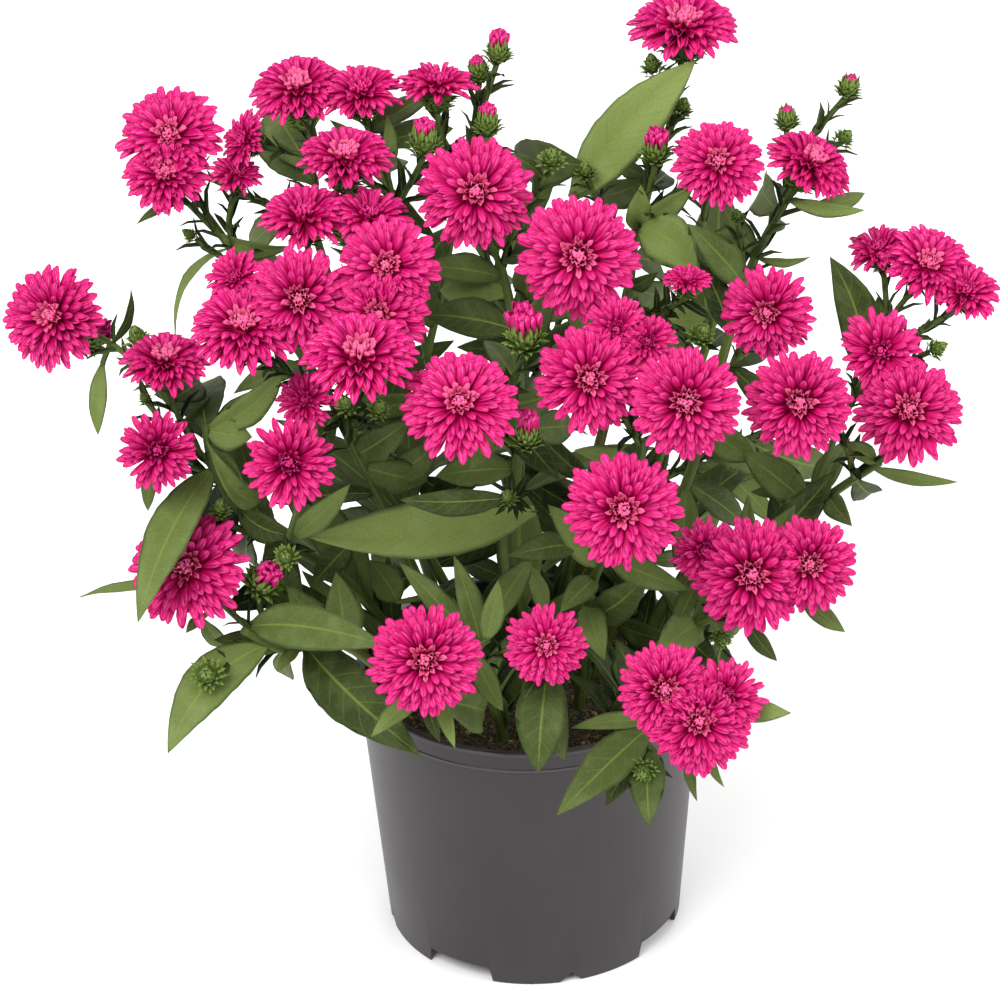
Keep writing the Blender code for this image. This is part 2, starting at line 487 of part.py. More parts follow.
def blade_point(blade, along, side, height):
    """A point on a blade: how far along it, how far to a side from -1 to 1, and above its middle."""
    run = blade.tip - blade.base
    edge = run.normalized().cross(blade.face)
    bend = 4 * along * (1 - along)
    half = blade.width / 2 * blade_share(along)
    middle = blade.base + run * along + blade.face * (blade.arch * bend) + edge * (blade.sway * bend)
    return middle + edge * (half * side) + blade.face * (half * 0.22 * abs(side) + height)


def blade_share(along):
    """A lance-shaped blade's width here, as a share of its full width."""
    return max(math.sin(math.pi * along ** 0.86) ** 0.85 if 0 < along < 1 else 0.0, 0.16 * (1 - along))


def lay_out():
    """Every stem with its stalks, leaves, cups and buds, and every bloom's place.

    Blooms that share a plane are a little above one another, and their cups all end under that plane.
    """
    plants = {name: Plant(root, branches) for name, (root, *branches) in STEMS.items()}
    heads = {}
    for bloom in BLOOMS:
        if bloom.depth is None:
            lift += GROUP_STEP
            ray = seen_at(bloom.spot, 0.0) - VIEW_POINT
            place = VIEW_POINT + ray * ((head.place - VIEW_POINT).dot(way) / ray.dot(way)) + way * GROUP_STEP
        else:
            lift = FIT_GAP
            place = seen_at(bloom.spot, bloom.depth)
            way = facing(bloom.turn, place)
        head = Head(place, way, bloom.across)
        heads.setdefault(bloom.node, []).append((bloom, head))
        wide = head.across * CUP_RADIUS_SHARE
        deep = head.across * CUP_DEPTH_SHARE
        plants[bloom.stem].add_stalk(head, deep, ((-deep * 0.66, wide * 0.86), (-lift, wide)))
    for bud in BUDS:
        place = seen_at(bud.spot, bud.depth)
        head = Head(place, facing(bud.turn, place), bud.across)
        wide = head.across / 2
        plants[bud.stem].add_stalk(head, wide, ((-wide * 0.45, wide), (wide, wide * 0.45)))
        plants[bud.stem].buds.append(head)
    for leaf in LEAVES:
        plants[leaf.stem].add_blade(leaf)
    fill_leaves(plants, [head for group in heads.values() for _, head in group])
    return plants, heads


def blade_marks(blade):
    """Places all over a blade, to measure how near other things are."""
    return np.array(
        [blade_point(blade, i / 8, side, 0.0) for i in range(1, 9) for side in (-1, -0.5, 0, 0.5, 1)]
    )


def nearest_gap(marks, others):
    if not len(others):
        return 1.0
    return float(np.sqrt(((marks[:, None] - others[None]) ** 2).sum(axis=2).min()))


class Room:
    """What already stands where: it says whether a new blade is clear of it all."""

    def __init__(self, plants, heads):
        self.heads = heads
        self.blades = {
            name: np.concatenate([blade_marks(blade) for blade in plant.blades] or [np.zeros((0, 3))])
            for name, plant in plants.items()
        }
        self.tubes = {name: np.array([mark for mark, _ in plant.marks()]) for name, plant in plants.items()}
        self.buds = np.array([bud.place for plant in plants.values() for bud in plant.buds])

    def add(self, name, blade):
        self.blades[name] = np.concatenate([self.blades[name], blade_marks(blade)])

    def shows(self, spot, reach):
        """Whether the picture already shows a leaf or a bloom on this spot."""
        for head in self.heads:
            if head.place.y < POT_AXIS.y + NEAR_SIDE:
                if (spot_of(head.place) - spot).length < head.across / 2 * SPOTS_PER_METRE * 0.9:
                    return True
        marks = np.concatenate(list(self.blades.values()))
        out = marks - np.array(VIEW_POINT)
        away = out @ np.array(FORWARD)
        right = VIEW_MIDDLE.x + out @ np.array(RIGHT) / away * VIEW_FOCUS
        down = VIEW_MIDDLE.y - out @ np.array(UP) / away * VIEW_FOCUS
        return bool((np.hypot(right - spot.x, down - spot.y) < reach).any())

    def takes(self, name, blade):
        marks = blade_marks(blade)
        if marks[10:, 2].min() < FILL_LOWEST:
            return False
        free = marks[10:]
        for other in self.blades:
            own = other == name
            if nearest_gap(free, self.blades[other]) < (OWN_LEAF_GAP if own else LEAF_GAP):
                return False
            if not own and nearest_gap(marks, self.tubes[other]) < LEAF_GAP:
                return False
        if nearest_gap(free, self.buds) < 2 * LEAF_GAP:
            return False
        return not any(self.meets(head, marks) for head in self.heads)

    def meets(self, head, marks):
        """Whether any of these marks is in a bloom or its cup, or hides the bloom from the viewpoint."""
        radius = head.across / 2
        out = marks - np.array(head.place)
        up = out @ np.array(head.way)
        aside = np.sqrt(np.maximum((out ** 2).sum(axis=1) - up ** 2, 0.0))
        in_bloom = (aside < radius + 0.003) & (up > -0.003) & (up < radius * 0.5 + 0.003)
        in_cup = (aside < radius * 0.40 + 0.003) & (up > -radius * 0.5) & (up < 0.0)
        toward = out @ np.array(FORWARD)
        seen_aside = np.sqrt(np.maximum((out ** 2).sum(axis=1) - toward ** 2, 0.0))
        return bool((in_bloom | in_cup | ((seen_aside < radius * 0.8) & (toward < 0.0))).any())


def fill_leaves(plants, heads):
    """Leaves by rule: over the inside as the picture shows it, then up the stems at the back."""
    draw = random.Random(FILL_SEED)
    room = Room(plants, heads)
    rows = round(2 * FILL_HALF.y / FILL_PITCH)
    columns = round(2 * FILL_HALF.x / FILL_PITCH)
    for row in range(rows + 1):
        for column in range(columns + 1):
            offset = Vector((column + (row % 2) / 2 + draw.uniform(-0.2, 0.2), row + draw.uniform(-0.2, 0.2)))
            share = offset * FILL_PITCH - FILL_HALF
            if (share.x / FILL_HALF.x) ** 2 + (share.y / FILL_HALF.y) ** 2 < 1:
                fill_spot(plants, room, FILL_MIDDLE + share, draw)
    number = 0
    for name, plant in plants.items():
        for place, _ in spaced(plant.tubes[0].points, FAR_EVERY):
            number += 1
            turn = number * GOLDEN_TURN + draw.uniform(-0.3, 0.3)
            out = Vector((math.cos(turn), math.sin(turn), draw.uniform(0.2, 0.7))).normalized()
            tip = place + out * draw.uniform(*FAR_LENGTH)
            if place.z > FAR_FROM and tip.y > POT_AXIS.y + FAR_SIDE:
                try_blade(plants, room, name, place, tip, Vector((0, 0, 1)))


def spaced(points, every):
    travelled = 0.0
    for start, end in zip(points, points[1:]):
        travelled += (end - start).length
        while travelled > every:
            travelled -= every
            yield end.lerp(start, travelled / (end - start).length), end - start


def fill_spot(plants, room, spot, draw):
    """One leaf that shows on this spot, if there is room for it."""
    if room.shows(spot, FILL_REACH):
        return
    near = sorted(
        ((spot_of(mark) - spot).length, number, name, mark)
        for number, (name, mark) in enumerate(
            (name, mark) for name, plant in plants.items() for mark, _ in plant.marks()
        )
    )
    used = Counter()
    for far, _, name, base in near:
        if used[name] > 1 or not 14.0 * (1 + 2 * used[name]) < far < 95.0:
            continue
        used[name] += 1
        depth = base.y - POT_AXIS.y
        for stretch in (1.0, 0.45):
            ahead = spot + (spot - spot_of(base)) * (stretch * max(1.0, 46.0 / far))
            for lean in FILL_LEANS:
                tip = seen_at(ahead, depth + lean)
                size = min(max((tip - base).length, FILL_LENGTH[0]), FILL_LENGTH[1])
                tip = base + (tip - base).normalized() * size
                if try_blade(plants, room, name, base, tip, VIEW_POINT - base, draw.uniform(-35, 35)):
                    return


def try_blade(plants, room, name, base, tip, toward, roll=0.0):
    along = (tip - base).normalized()
    face = (toward - along * toward.dot(along)).normalized()
    face = Quaternion(along, math.radians(roll)) @ face
    length = (tip - base).length
    blade = Blade(base, tip, face, length * FILL_WIDTH_SHARE, length * 0.07, 0.0)
    if not room.takes(name, blade):
        return False
    plants[name].blades.append(blade)
    room.add(name, blade)
    return True


def shaped_ball(columns, rings, place, is_tip):
    """A closed skin made from a ball: place(ring, column) sets each point, from one pole to the other."""
    skin = bmesh.new()
    bmesh.ops.create_uvsphere(skin, u_segments=columns, v_segments=rings + 1, radius=1.0)
    where = {}
    first = None
    for vert in skin.verts:
        height = max(-1.0, min(1.0, -vert.co.z))
        ring = round(math.acos(height) / math.pi * (rings + 1))
        turn = math.atan2(vert.co.y, vert.co.x) / math.tau * columns
        if first is None and 0 < ring <= rings:
            first = turn
        where[vert] = (ring, round(turn - (first or 0.0)) % columns)
    for vert, (ring, column) in where.items():
        vert.co = place(ring, column)
    bmesh.ops.remove_doubles(skin, verts=skin.verts, dist=1e-7)
    for face in [face for face in skin.faces if len(face.verts) == 4]:
        corner = next(vert for vert in face.verts if is_tip(*where[vert]))
        turned = list(face.verts)
        bmesh.utils.face_split(face, corner, turned[(turned.index(corner) + 2) % 4])
    bmesh.ops.triangulate(skin, faces=skin.faces)
    if skin.calc_volume(signed=True) < 0:
        bmesh.ops.reverse_faces(skin, faces=skin.faces)
    mesh = bpy.data.meshes.new("skin")
    skin.to_mesh(mesh)
    skin.free()
    return mesh


def stand_up(head):
    """The turn that points +Z the way a head faces."""
    return head.way.to_track_quat("Z", "Y")


def petal_mesh(head, layers, draw):
    """A bloom's petals, in layers that each show between the tips of the one below."""
    radius = head.across / 2
    turn = stand_up(head)
    tilt = draw.uniform(0, math.tau)
    if layers == 3:
        outline = ((1.0, 0.80, 0.05), (0.80, 0.62, 0.26), (0.48, 0.36, 0.42))
        roots = ((0.50, 0.20), (0.28, 0.36))
        heart = 0.38
    else:
        outline = ((1.0, 0.74, 0.12), (0.62, 0.44, 0.40))
        roots = ((0.38, 0.26),)
        heart = 0.36
    rings = len(outline) + len(roots)
    spread = [[draw.uniform(-1, 1) * TIP_SPREAD for _ in range(2 * PETALS)] for _ in outline]

    def place(ring, column):
        if ring == 0:
            return head.place.copy()
        if ring == rings + 1:
            return head.place + head.way * (radius * heart)
        layer, is_root = divmod(ring - 1, 2)
        odd = (column + layer) % 2
        if is_root:
            out, up = roots[layer]
            column -= odd
            column += 1 if layer % 2 == 0 else 0
            angle = (column + (0 if layer % 2 == 0 else 1)) * math.pi / PETALS
        else:
            tip, valley, up = outline[layer]
            out = valley if odd else tip + spread[layer][column]
            up += -0.04 if odd else spread[layer][column] * 0.6
            angle = column * math.pi / PETALS
        flat = Vector((math.cos(angle + tilt), math.sin(angle + tilt), 0.0)) * (out * radius)
        return head.place + turn @ (flat + Vector((0.0, 0.0, up * radius)))

    return shaped_ball(PETALS * 2, rings, place, lambda ring, column: ring % 2 == 1 and (column + ring // 2) % 2 == 0)


def blade_mesh(blade):
    """A thin leaf blade with a folded middle, pointed at the tip and narrow at its root."""
    length = (blade.tip - blade.base).length
    stations = (0.16, 0.46, 0.78) if length > LARGE_LEAF else (0.28, 0.70)

    def place(ring, column):
        if ring == 0:
            return blade.base - (blade.tip - blade.base) * (BLADE_SINK / length)
        if ring > len(stations):
            return blade_point(blade, 1.0, 0.0, 0.0)
        along = stations[ring - 1]
        if column % 2 == 0:
            return blade_point(blade, along, 1 - column, 0.0)
        return blade_point(blade, along, 0.0, BLADE_THICKNESS / 2 * (2 - column))

    return shaped_ball(4, len(stations), place, lambda ring, column: column % 2 == 0)


def material(name, colour, roughness):
    made = bpy.data.materials.new(name)
    made.use_nodes = True
    shader = made.node_tree.nodes["Principled BSDF"]
    shader.inputs["Base Color"].default_value = (*colour, 1.0)
    shader.inputs["Roughness"].default_value = roughness
    shader.inputs["Metallic"].default_value = 0.0
    return made


def new_object(name, mesh, collection):
    made = bpy.data.objects.new(name, mesh)
    collection.objects.link(made)
    return made


def tube_objects(tubes, collection):
    """Each tube as a closed mesh object, made from a curve with a bevel."""
    curves = []
    for tube in tubes:
        data = bpy.data.curves.new("tube", "CURVE")
        data.dimensions = "3D"
        data.bevel_depth = STALK_RADIUS
        data.bevel_resolution = (tube.sides - 4) // 2
        data.use_fill_caps = True
        spline = data.splines.new("POLY")
        spline.points.add(len(tube.points) - 1)
        for target, point, radius in zip(spline.points, tube.points, tube.radii):
            target.co = (*point, 1.0)
            target.radius = radius / STALK_RADIUS
        curves.append(new_object("tube", data, collection))
    bpy.context.view_layer.update()
    graph = bpy.context.evaluated_depsgraph_get()
    made = []
    for curve in curves:
        mesh = bpy.data.meshes.new_from_object(curve.evaluated_get(graph))
        skin = bmesh.new()
        skin.from_mesh(mesh)
        bmesh.ops.remove_doubles(skin, verts=skin.verts, dist=1e-6)
        bmesh.ops.triangulate(skin, faces=skin.faces)
        bmesh.ops.recalc_face_normals(skin, faces=skin.faces)
        skin.to_mesh(mesh)
        skin.free()
        made.append(new_object("tube", mesh, collection))
        bpy.data.objects.remove(curve)
    return made


def united(name, pieces, helper, parts, look):
    """One body from overlapping pieces, by a Boolean union on their collection."""
    first, rest = pieces[0], pieces[1:]
    if rest:
        helper.objects.unlink(first)
        bpy.context.scene.collection.objects.link(first)
        join = first.modifiers.new("join", "BOOLEAN")
        join.operation = "UNION"
        join.operand_type = "COLLECTION"
        join.collection = helper
        join.solver = "MANIFOLD"
        thin = first.modifiers.new("thin", "DECIMATE")
        thin.ratio = 0.74
        bpy.context.view_layer.update()
    graph = bpy.context.evaluated_depsgraph_get()
    mesh = bpy.data.meshes.new_from_object(first.evaluated_get(graph))
    for piece in pieces:
        bpy.data.objects.remove(piece)
    mesh.materials.clear()
    mesh.materials.append(look)
    mesh.name = name
    return new_object(name, mesh, parts)


def build_blooms(heads, helper, parts, look):
    draw = random.Random(FILL_SEED)
    for node, group in heads.items():
        pieces = [
            new_object("petals", petal_mesh(head, bloom.layers, draw), helper) for bloom, head in group
        ]
        united(node, pieces, helper, parts, look)


def build_stem(name, plant, helper, parts, look):
    pieces = tube_objects(plant.tubes, helper)
    pieces += [new_object("leaf", blade_mesh(blade), helper) for blade in plant.blades]
    united(name, pieces, helper, parts, look)


def pot_profile():
    """The pot's section, down its outside and back up its inside, as radius and height."""
    under_band = POT_HEIGHT - RIM_BAND
    return (
        (RIM_RADIUS - LIP_WIDTH, POT_HEIGHT - 0.0006),
        (RIM_RADIUS, POT_HEIGHT),
        (RIM_RADIUS, under_band),
        (RIM_RADIUS - RIM_STEP, under_band - 0.0004),
        (FOOT_RADIUS, 0.0),
        (FOOT_RADIUS - WALL, 0.0),
        (FOOT_RADIUS - WALL, BASE_PLATE_FROM),
        (0.0, BASE_PLATE_FROM),
        (0.0, BASE_PLATE_FROM + WALL),
        (FOOT_RADIUS - WALL + 0.0006, BASE_PLATE_FROM + WALL),
        (RIM_RADIUS - RIM_STEP - WALL, under_band),
        (RIM_RADIUS - LIP_WIDTH, POT_HEIGHT - 0.0040),
    )


def turned(name, profile, steps, collection):
    """A closed solid turned from a profile round the pot's axis."""
    skin = bmesh.new()
    ring = [skin.verts.new((radius, 0.0, height)) for radius, height in profile]
    for one, two in zip(ring, ring[1:] + ring[:1]):
        if one.co.x > 0 or two.co.x > 0:
            skin.edges.new((one, two))
    mesh = bpy.data.meshes.new(name)
    skin.to_mesh(mesh)
    skin.free()
    made = new_object(name, mesh, collection)
    made.location = POT_AXIS
    screw = made.modifiers.new("turn", "SCREW")
    screw.steps = steps
    screw.render_steps = steps
    screw.use_merge_vertices = True
    screw.merge_threshold = 0.0001
    screw.use_normal_calculate = True
    return made


def cutter_object(name, mesh, collection):
    made = new_object(name, mesh, collection)
    made.hide_render = True
    made.display_type = "WIRE"
    return made


def block_mesh(half, top_share=1.0):
    """A block about the origin, whose top may be shorter across than its foot."""
    skin = bmesh.new()
    bmesh.ops.create_cube(skin, size=2.0)
    for vert in skin.verts:
        share = top_share if vert.co.z > 0 else 1.0
        vert.co = Vector((vert.co.x * half.x, vert.co.y * half.y * share, vert.co.z * half.z))
    mesh = bpy.data.meshes.new("block")
    skin.to_mesh(mesh)
    skin.free()
    return mesh


def round_mesh(radius, bottom, top, sides):
    skin = bmesh.new()
    bmesh.ops.create_cone(
        skin, cap_ends=True, segments=sides, radius1=radius, radius2=radius, depth=top - bottom
    )
    bmesh.ops.translate(skin, verts=skin.verts, vec=(0.0, 0.0, (top + bottom) / 2))
    mesh = bpy.data.meshes.new("round")
    skin.to_mesh(mesh)
    skin.free()
    return mesh


def cut_with(target, cutters):
    cut = target.modifiers.new("cut", "BOOLEAN")
    cut.operation = "DIFFERENCE"
    cut.operand_type = "COLLECTION"
    cut.collection = cutters
    cut.solver = "EXACT"


def build_pot(parts, look):
    """The pot, with its skirt of broad slots and small notches, and its drain holes."""
    pot = turned("pot", pot_profile(), POT_STEPS, parts)
    pot.data.materials.append(look)
    cutters = bpy.data.collections.new("pot cutters")
    bpy.context.scene.collection.children.link(cutters)
    slot = Vector((0.006, SKIRT_SLOT_HALF_WIDTH, SKIRT_SLOT_HEIGHT))
    notch = Vector((0.006, 1.0, 1.0))
    notch.yz = Vector((SKIRT_NOTCH_HEIGHT, SKIRT_NOTCH_HEIGHT)) / math.sqrt(2)
    for quarter in range(4):
        front = math.radians(SKIRT_PATTERN_TURN + 90 * quarter - 90)
        for name, half, turn, roll in (
            ("slot", slot, front + math.radians(45), 0.0),
            ("notch", notch, front, math.radians(45)),
        ):
            mesh = block_mesh(half, 0.86 if name == "slot" else 1.0)
            cutter = cutter_object(name, mesh, cutters)
            out = Vector((math.cos(turn), math.sin(turn), 0.0)) * (FOOT_RADIUS - 0.001)
            cutter.location = POT_AXIS + out
            cutter.rotation_euler = (roll, 0.0, turn)
    for number in range(DRAIN_HOLES):
        turn = math.tau * number / DRAIN_HOLES
        mesh = round_mesh(DRAIN_HOLE_RADIUS, 0.002, 0.020, 6)
        hole = cutter_object("drain", mesh, cutters)
        hole.location = POT_AXIS + Vector((math.cos(turn), math.sin(turn), 0.0)) * DRAIN_RING_RADIUS
    cut_with(pot, cutters)


def build_soil(parts, look):
    """The soil: a plug a little smaller than the pot's inside, uneven on top, with a hole for each stem."""
    floor = BASE_PLATE_FROM + WALL + FIT_GAP
    slope = (RIM_RADIUS - RIM_STEP - FOOT_RADIUS) / (POT_HEIGHT - RIM_BAND)
    inside = FOOT_RADIUS - WALL - FIT_GAP * 2
    levels = (
        (inside, floor),
        (inside + slope * (SOIL_TOP - floor), SOIL_TOP),
        (inside * 0.52, SOIL_TOP),
    )

    def place(ring, column):
        if ring in (0, len(levels) + 1):
            return POT_AXIS + Vector((0.0, 0.0, SOIL_TOP if ring else floor))
        radius, height = levels[ring - 1]
        turn = column * math.tau / SOIL_COLUMNS
        if ring > 2:
            height += SOIL_WAVE * math.sin(turn * 5 + ring * 2.1)
        return POT_AXIS + Vector((math.cos(turn) * radius, math.sin(turn) * radius, height))

    mesh = shaped_ball(SOIL_COLUMNS, len(levels), place, lambda ring, column: True)
    soil = new_object("soil", mesh, parts)
    soil.data.materials.append(look)
    cutters = bpy.data.collections.new("soil cutters")
    bpy.context.scene.collection.children.link(cutters)
    for root, *_ in STEMS.values():
        mesh = round_mesh(STEM_HOLE_RADIUS, STEM_HOLE_FLOOR, POT_HEIGHT, 6)
        hole = cutter_object("stem hole", mesh, cutters)
        hole.location = POT_AXIS + Vector((*root, 0.0))
    cut_with(soil, cutters)


def main():
    for leftover in list(bpy.data.objects):
        bpy.data.objects.remove(leftover)
    parts = bpy.data.collections.new("potted aster")
    helper = bpy.data.collections.new("pieces to join")
    for collection in (parts, helper):
        bpy.context.scene.collection.children.link(collection)
    build_pot(parts, material("pot plastic", (0.09, 0.085, 0.09), 0.45))
    build_soil(parts, material("peat", (0.02, 0.013, 0.008), 0.95))
    plants, heads = lay_out()
    leaf_green = material("leaf green", (0.06, 0.13, 0.035), 0.6)
    for name, plant in plants.items():
        build_stem(name, plant, helper, parts, leaf_green)
    build_blooms(heads, helper, parts, material("petal pink", (0.80, 0.01, 0.18), 0.55))
    bpy.data.collections.remove(helper)


if __name__ == "__main__":
    main()
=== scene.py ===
"""The looks of the potted aster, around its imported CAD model.

Everything is in metres, +Z up, in the CAD model's own frame. Blooms, buds and leaves lie where the CAD
model has them: the lay-out below repeats its places and rules, and each node gets one finer piece.
"""

import json
import math
import random
from collections import Counter, namedtuple

import bmesh
import bpy
import numpy as np
from mathutils import Matrix, Quaternion, Vector, noise

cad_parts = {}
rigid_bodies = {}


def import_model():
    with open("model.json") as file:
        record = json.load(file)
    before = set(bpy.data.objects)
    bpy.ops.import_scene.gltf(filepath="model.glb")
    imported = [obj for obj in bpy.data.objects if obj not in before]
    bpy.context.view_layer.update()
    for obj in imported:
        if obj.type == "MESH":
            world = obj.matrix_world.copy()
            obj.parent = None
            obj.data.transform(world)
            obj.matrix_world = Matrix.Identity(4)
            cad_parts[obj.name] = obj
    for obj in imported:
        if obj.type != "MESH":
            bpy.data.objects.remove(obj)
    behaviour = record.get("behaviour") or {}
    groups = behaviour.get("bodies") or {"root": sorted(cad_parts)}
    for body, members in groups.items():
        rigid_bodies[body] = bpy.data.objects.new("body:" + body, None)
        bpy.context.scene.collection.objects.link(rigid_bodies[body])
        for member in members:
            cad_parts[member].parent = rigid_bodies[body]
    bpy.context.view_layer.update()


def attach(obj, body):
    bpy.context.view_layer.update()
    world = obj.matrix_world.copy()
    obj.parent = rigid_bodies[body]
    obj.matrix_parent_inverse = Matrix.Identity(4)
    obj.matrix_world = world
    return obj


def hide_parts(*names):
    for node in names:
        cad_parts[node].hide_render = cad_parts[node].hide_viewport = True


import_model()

# The pot
POT_AXIS = Vector((0.0059, -0.0014, 0.0))
POT_HEIGHT = 0.1008
RIM_RADIUS = 0.0600
RIM_BAND = 0.0073
RIM_STEP = 0.0009
LIP_WIDTH = 0.0036
FOOT_RADIUS = 0.0515
WALL = 0.0015
BASE_PLATE_FROM = 0.0075
SKIRT_PATTERN_TURN = 13.0
SKIRT_SLOT_HALF_WIDTH = 0.0138
SKIRT_SLOT_HEIGHT = 0.0062
SKIRT_NOTCH_HEIGHT = 0.0042
SKIRT_CUT_DEPTH = 0.006
DRAIN_HOLES = 4
DRAIN_HOLE_RADIUS = 0.0038
DRAIN_RING_RADIUS = 0.0330

# The soil
SOIL_TOP = 0.0870
SOIL_WAVE = 0.0012
STEM_HOLE_FLOOR = 0.0750
FIT_GAP = 0.0003

# Stems, cups, buds, blooms and leaves
STEM_RADIUS = 0.0021
BRANCH_RADIUS = 0.0014
STALK_RADIUS = 0.0010
SOIL_CLEAR_HEIGHT = 0.0905
LOWEST_FORK = SOIL_CLEAR_HEIGHT + 0.004
BRANCH_DROP = 0.030
STALK_BACK = 0.020
STALK_DROP = 0.016
TWIG_SUNK = 0.003
SAME_SPOT = 14
CUP_RADIUS_SHARE = 0.19
CUP_DEPTH_SHARE = 0.25
GROUP_STEP = 0.0002
BLADE_FOLD = 0.22
LARGE_LEAF = 0.046
SPOTS_PER_METRE = 2860.0
NEAR_SIDE = 0.05

# The viewpoint of the picture
VIEW_POINT = POT_AXIS + Vector((-0.0084, -1.3490, 0.9495))
VIEW_PITCH = 0.5252
VIEW_ROLL = 0.0281
VIEW_FOCUS = 4606.0
VIEW_MIDDLE = Vector((500.0, 493.0))

LEVEL_UP = Vector((0.0, math.sin(VIEW_PITCH), math.cos(VIEW_PITCH)))
FORWARD = Vector((0.0, math.cos(VIEW_PITCH), -math.sin(VIEW_PITCH)))
RIGHT = Vector((math.cos(VIEW_ROLL), 0.0, 0.0)) - LEVEL_UP * math.sin(VIEW_ROLL)
UP = Vector((math.sin(VIEW_ROLL), 0.0, 0.0)) + LEVEL_UP * math.cos(VIEW_ROLL)

# Each stem: where it stands in the soil, from the pot's axis, and its branches as spots and depths.
STEMS = {
    "upper_left": (
        (-0.014, 0.012),
        (((420, 540), 0.004), ((318, 380), 0.010), ((240, 262), 0.016), ((206, 214), 0.020)),
        (((432, 400), 0.020), ((402, 240), 0.020), ((385, 165), 0.020)),
        (((446, 270), 0.024), ((464, 150), 0.030)),
    ),
    "left_cluster": (
        (-0.021, -0.004),
        (((400, 540), -0.020), ((345, 430), -0.035), ((325, 385), -0.042)),
    ),
    "left": (
        (-0.035, 0.006),
        (((345, 580), -0.020), ((250, 520), -0.032), ((214, 468), -0.036), ((206, 425), -0.036)),
        (((290, 535), -0.055), ((300, 500), -0.066)),
    ),
    "low_left": (
        (-0.036, -0.013),
        (((345, 645), -0.036), ((285, 650), -0.050), ((243, 630), -0.056)),
    ),
    "front": (
        (-0.010, -0.030),
        (((480, 655), -0.066), ((487, 640), -0.074)),
    ),
    "middle": (
        (0.000, 0.000),
        (((512, 540), -0.026), ((520, 430), -0.036), ((515, 330), -0.034), ((500, 262), -0.020)),
    ),
    "middle_right": (
        (0.017, -0.009),
        (((590, 590), -0.034), ((632, 500), -0.052), ((642, 440), -0.056)),
    ),
    "top": (
        (0.007, 0.019),
        (((585, 500), 0.010), ((622, 350), 0.006), ((636, 230), 0.010), ((668, 130), 0.026)),
    ),
    "top_right": (
        (0.023, 0.012),
        (((680, 500), 0.000), ((722, 360), -0.008), ((752, 265), 0.000), ((784, 205), 0.012)),
    ),
    "right": (
        (0.037, 0.003),
        (((740, 570), -0.016), ((812, 508), -0.028), ((880, 462), -0.034)),
        (((838, 430), -0.014), ((880, 345), -0.006)),
    ),
    "low_right": (
        (0.027, -0.025),
        (((655, 650), -0.056), ((712, 618), -0.064)),
        (((650, 715), -0.076), ((668, 716), -0.084)),
    ),
    "back_left": (
        (-0.027, 0.027),
        (((395, 470), 0.050), ((345, 330), 0.062), ((310, 215), 0.066)),
    ),
    "back": (
        (-0.004, 0.037),
        (((520, 450), 0.062), ((528, 330), 0.074), ((530, 270), 0.082)),
    ),
    "back_right": (
        (0.027, 0.031),
        (((655, 470), 0.052), ((705, 350), 0.060), ((722, 260), 0.066)),
    ),
}

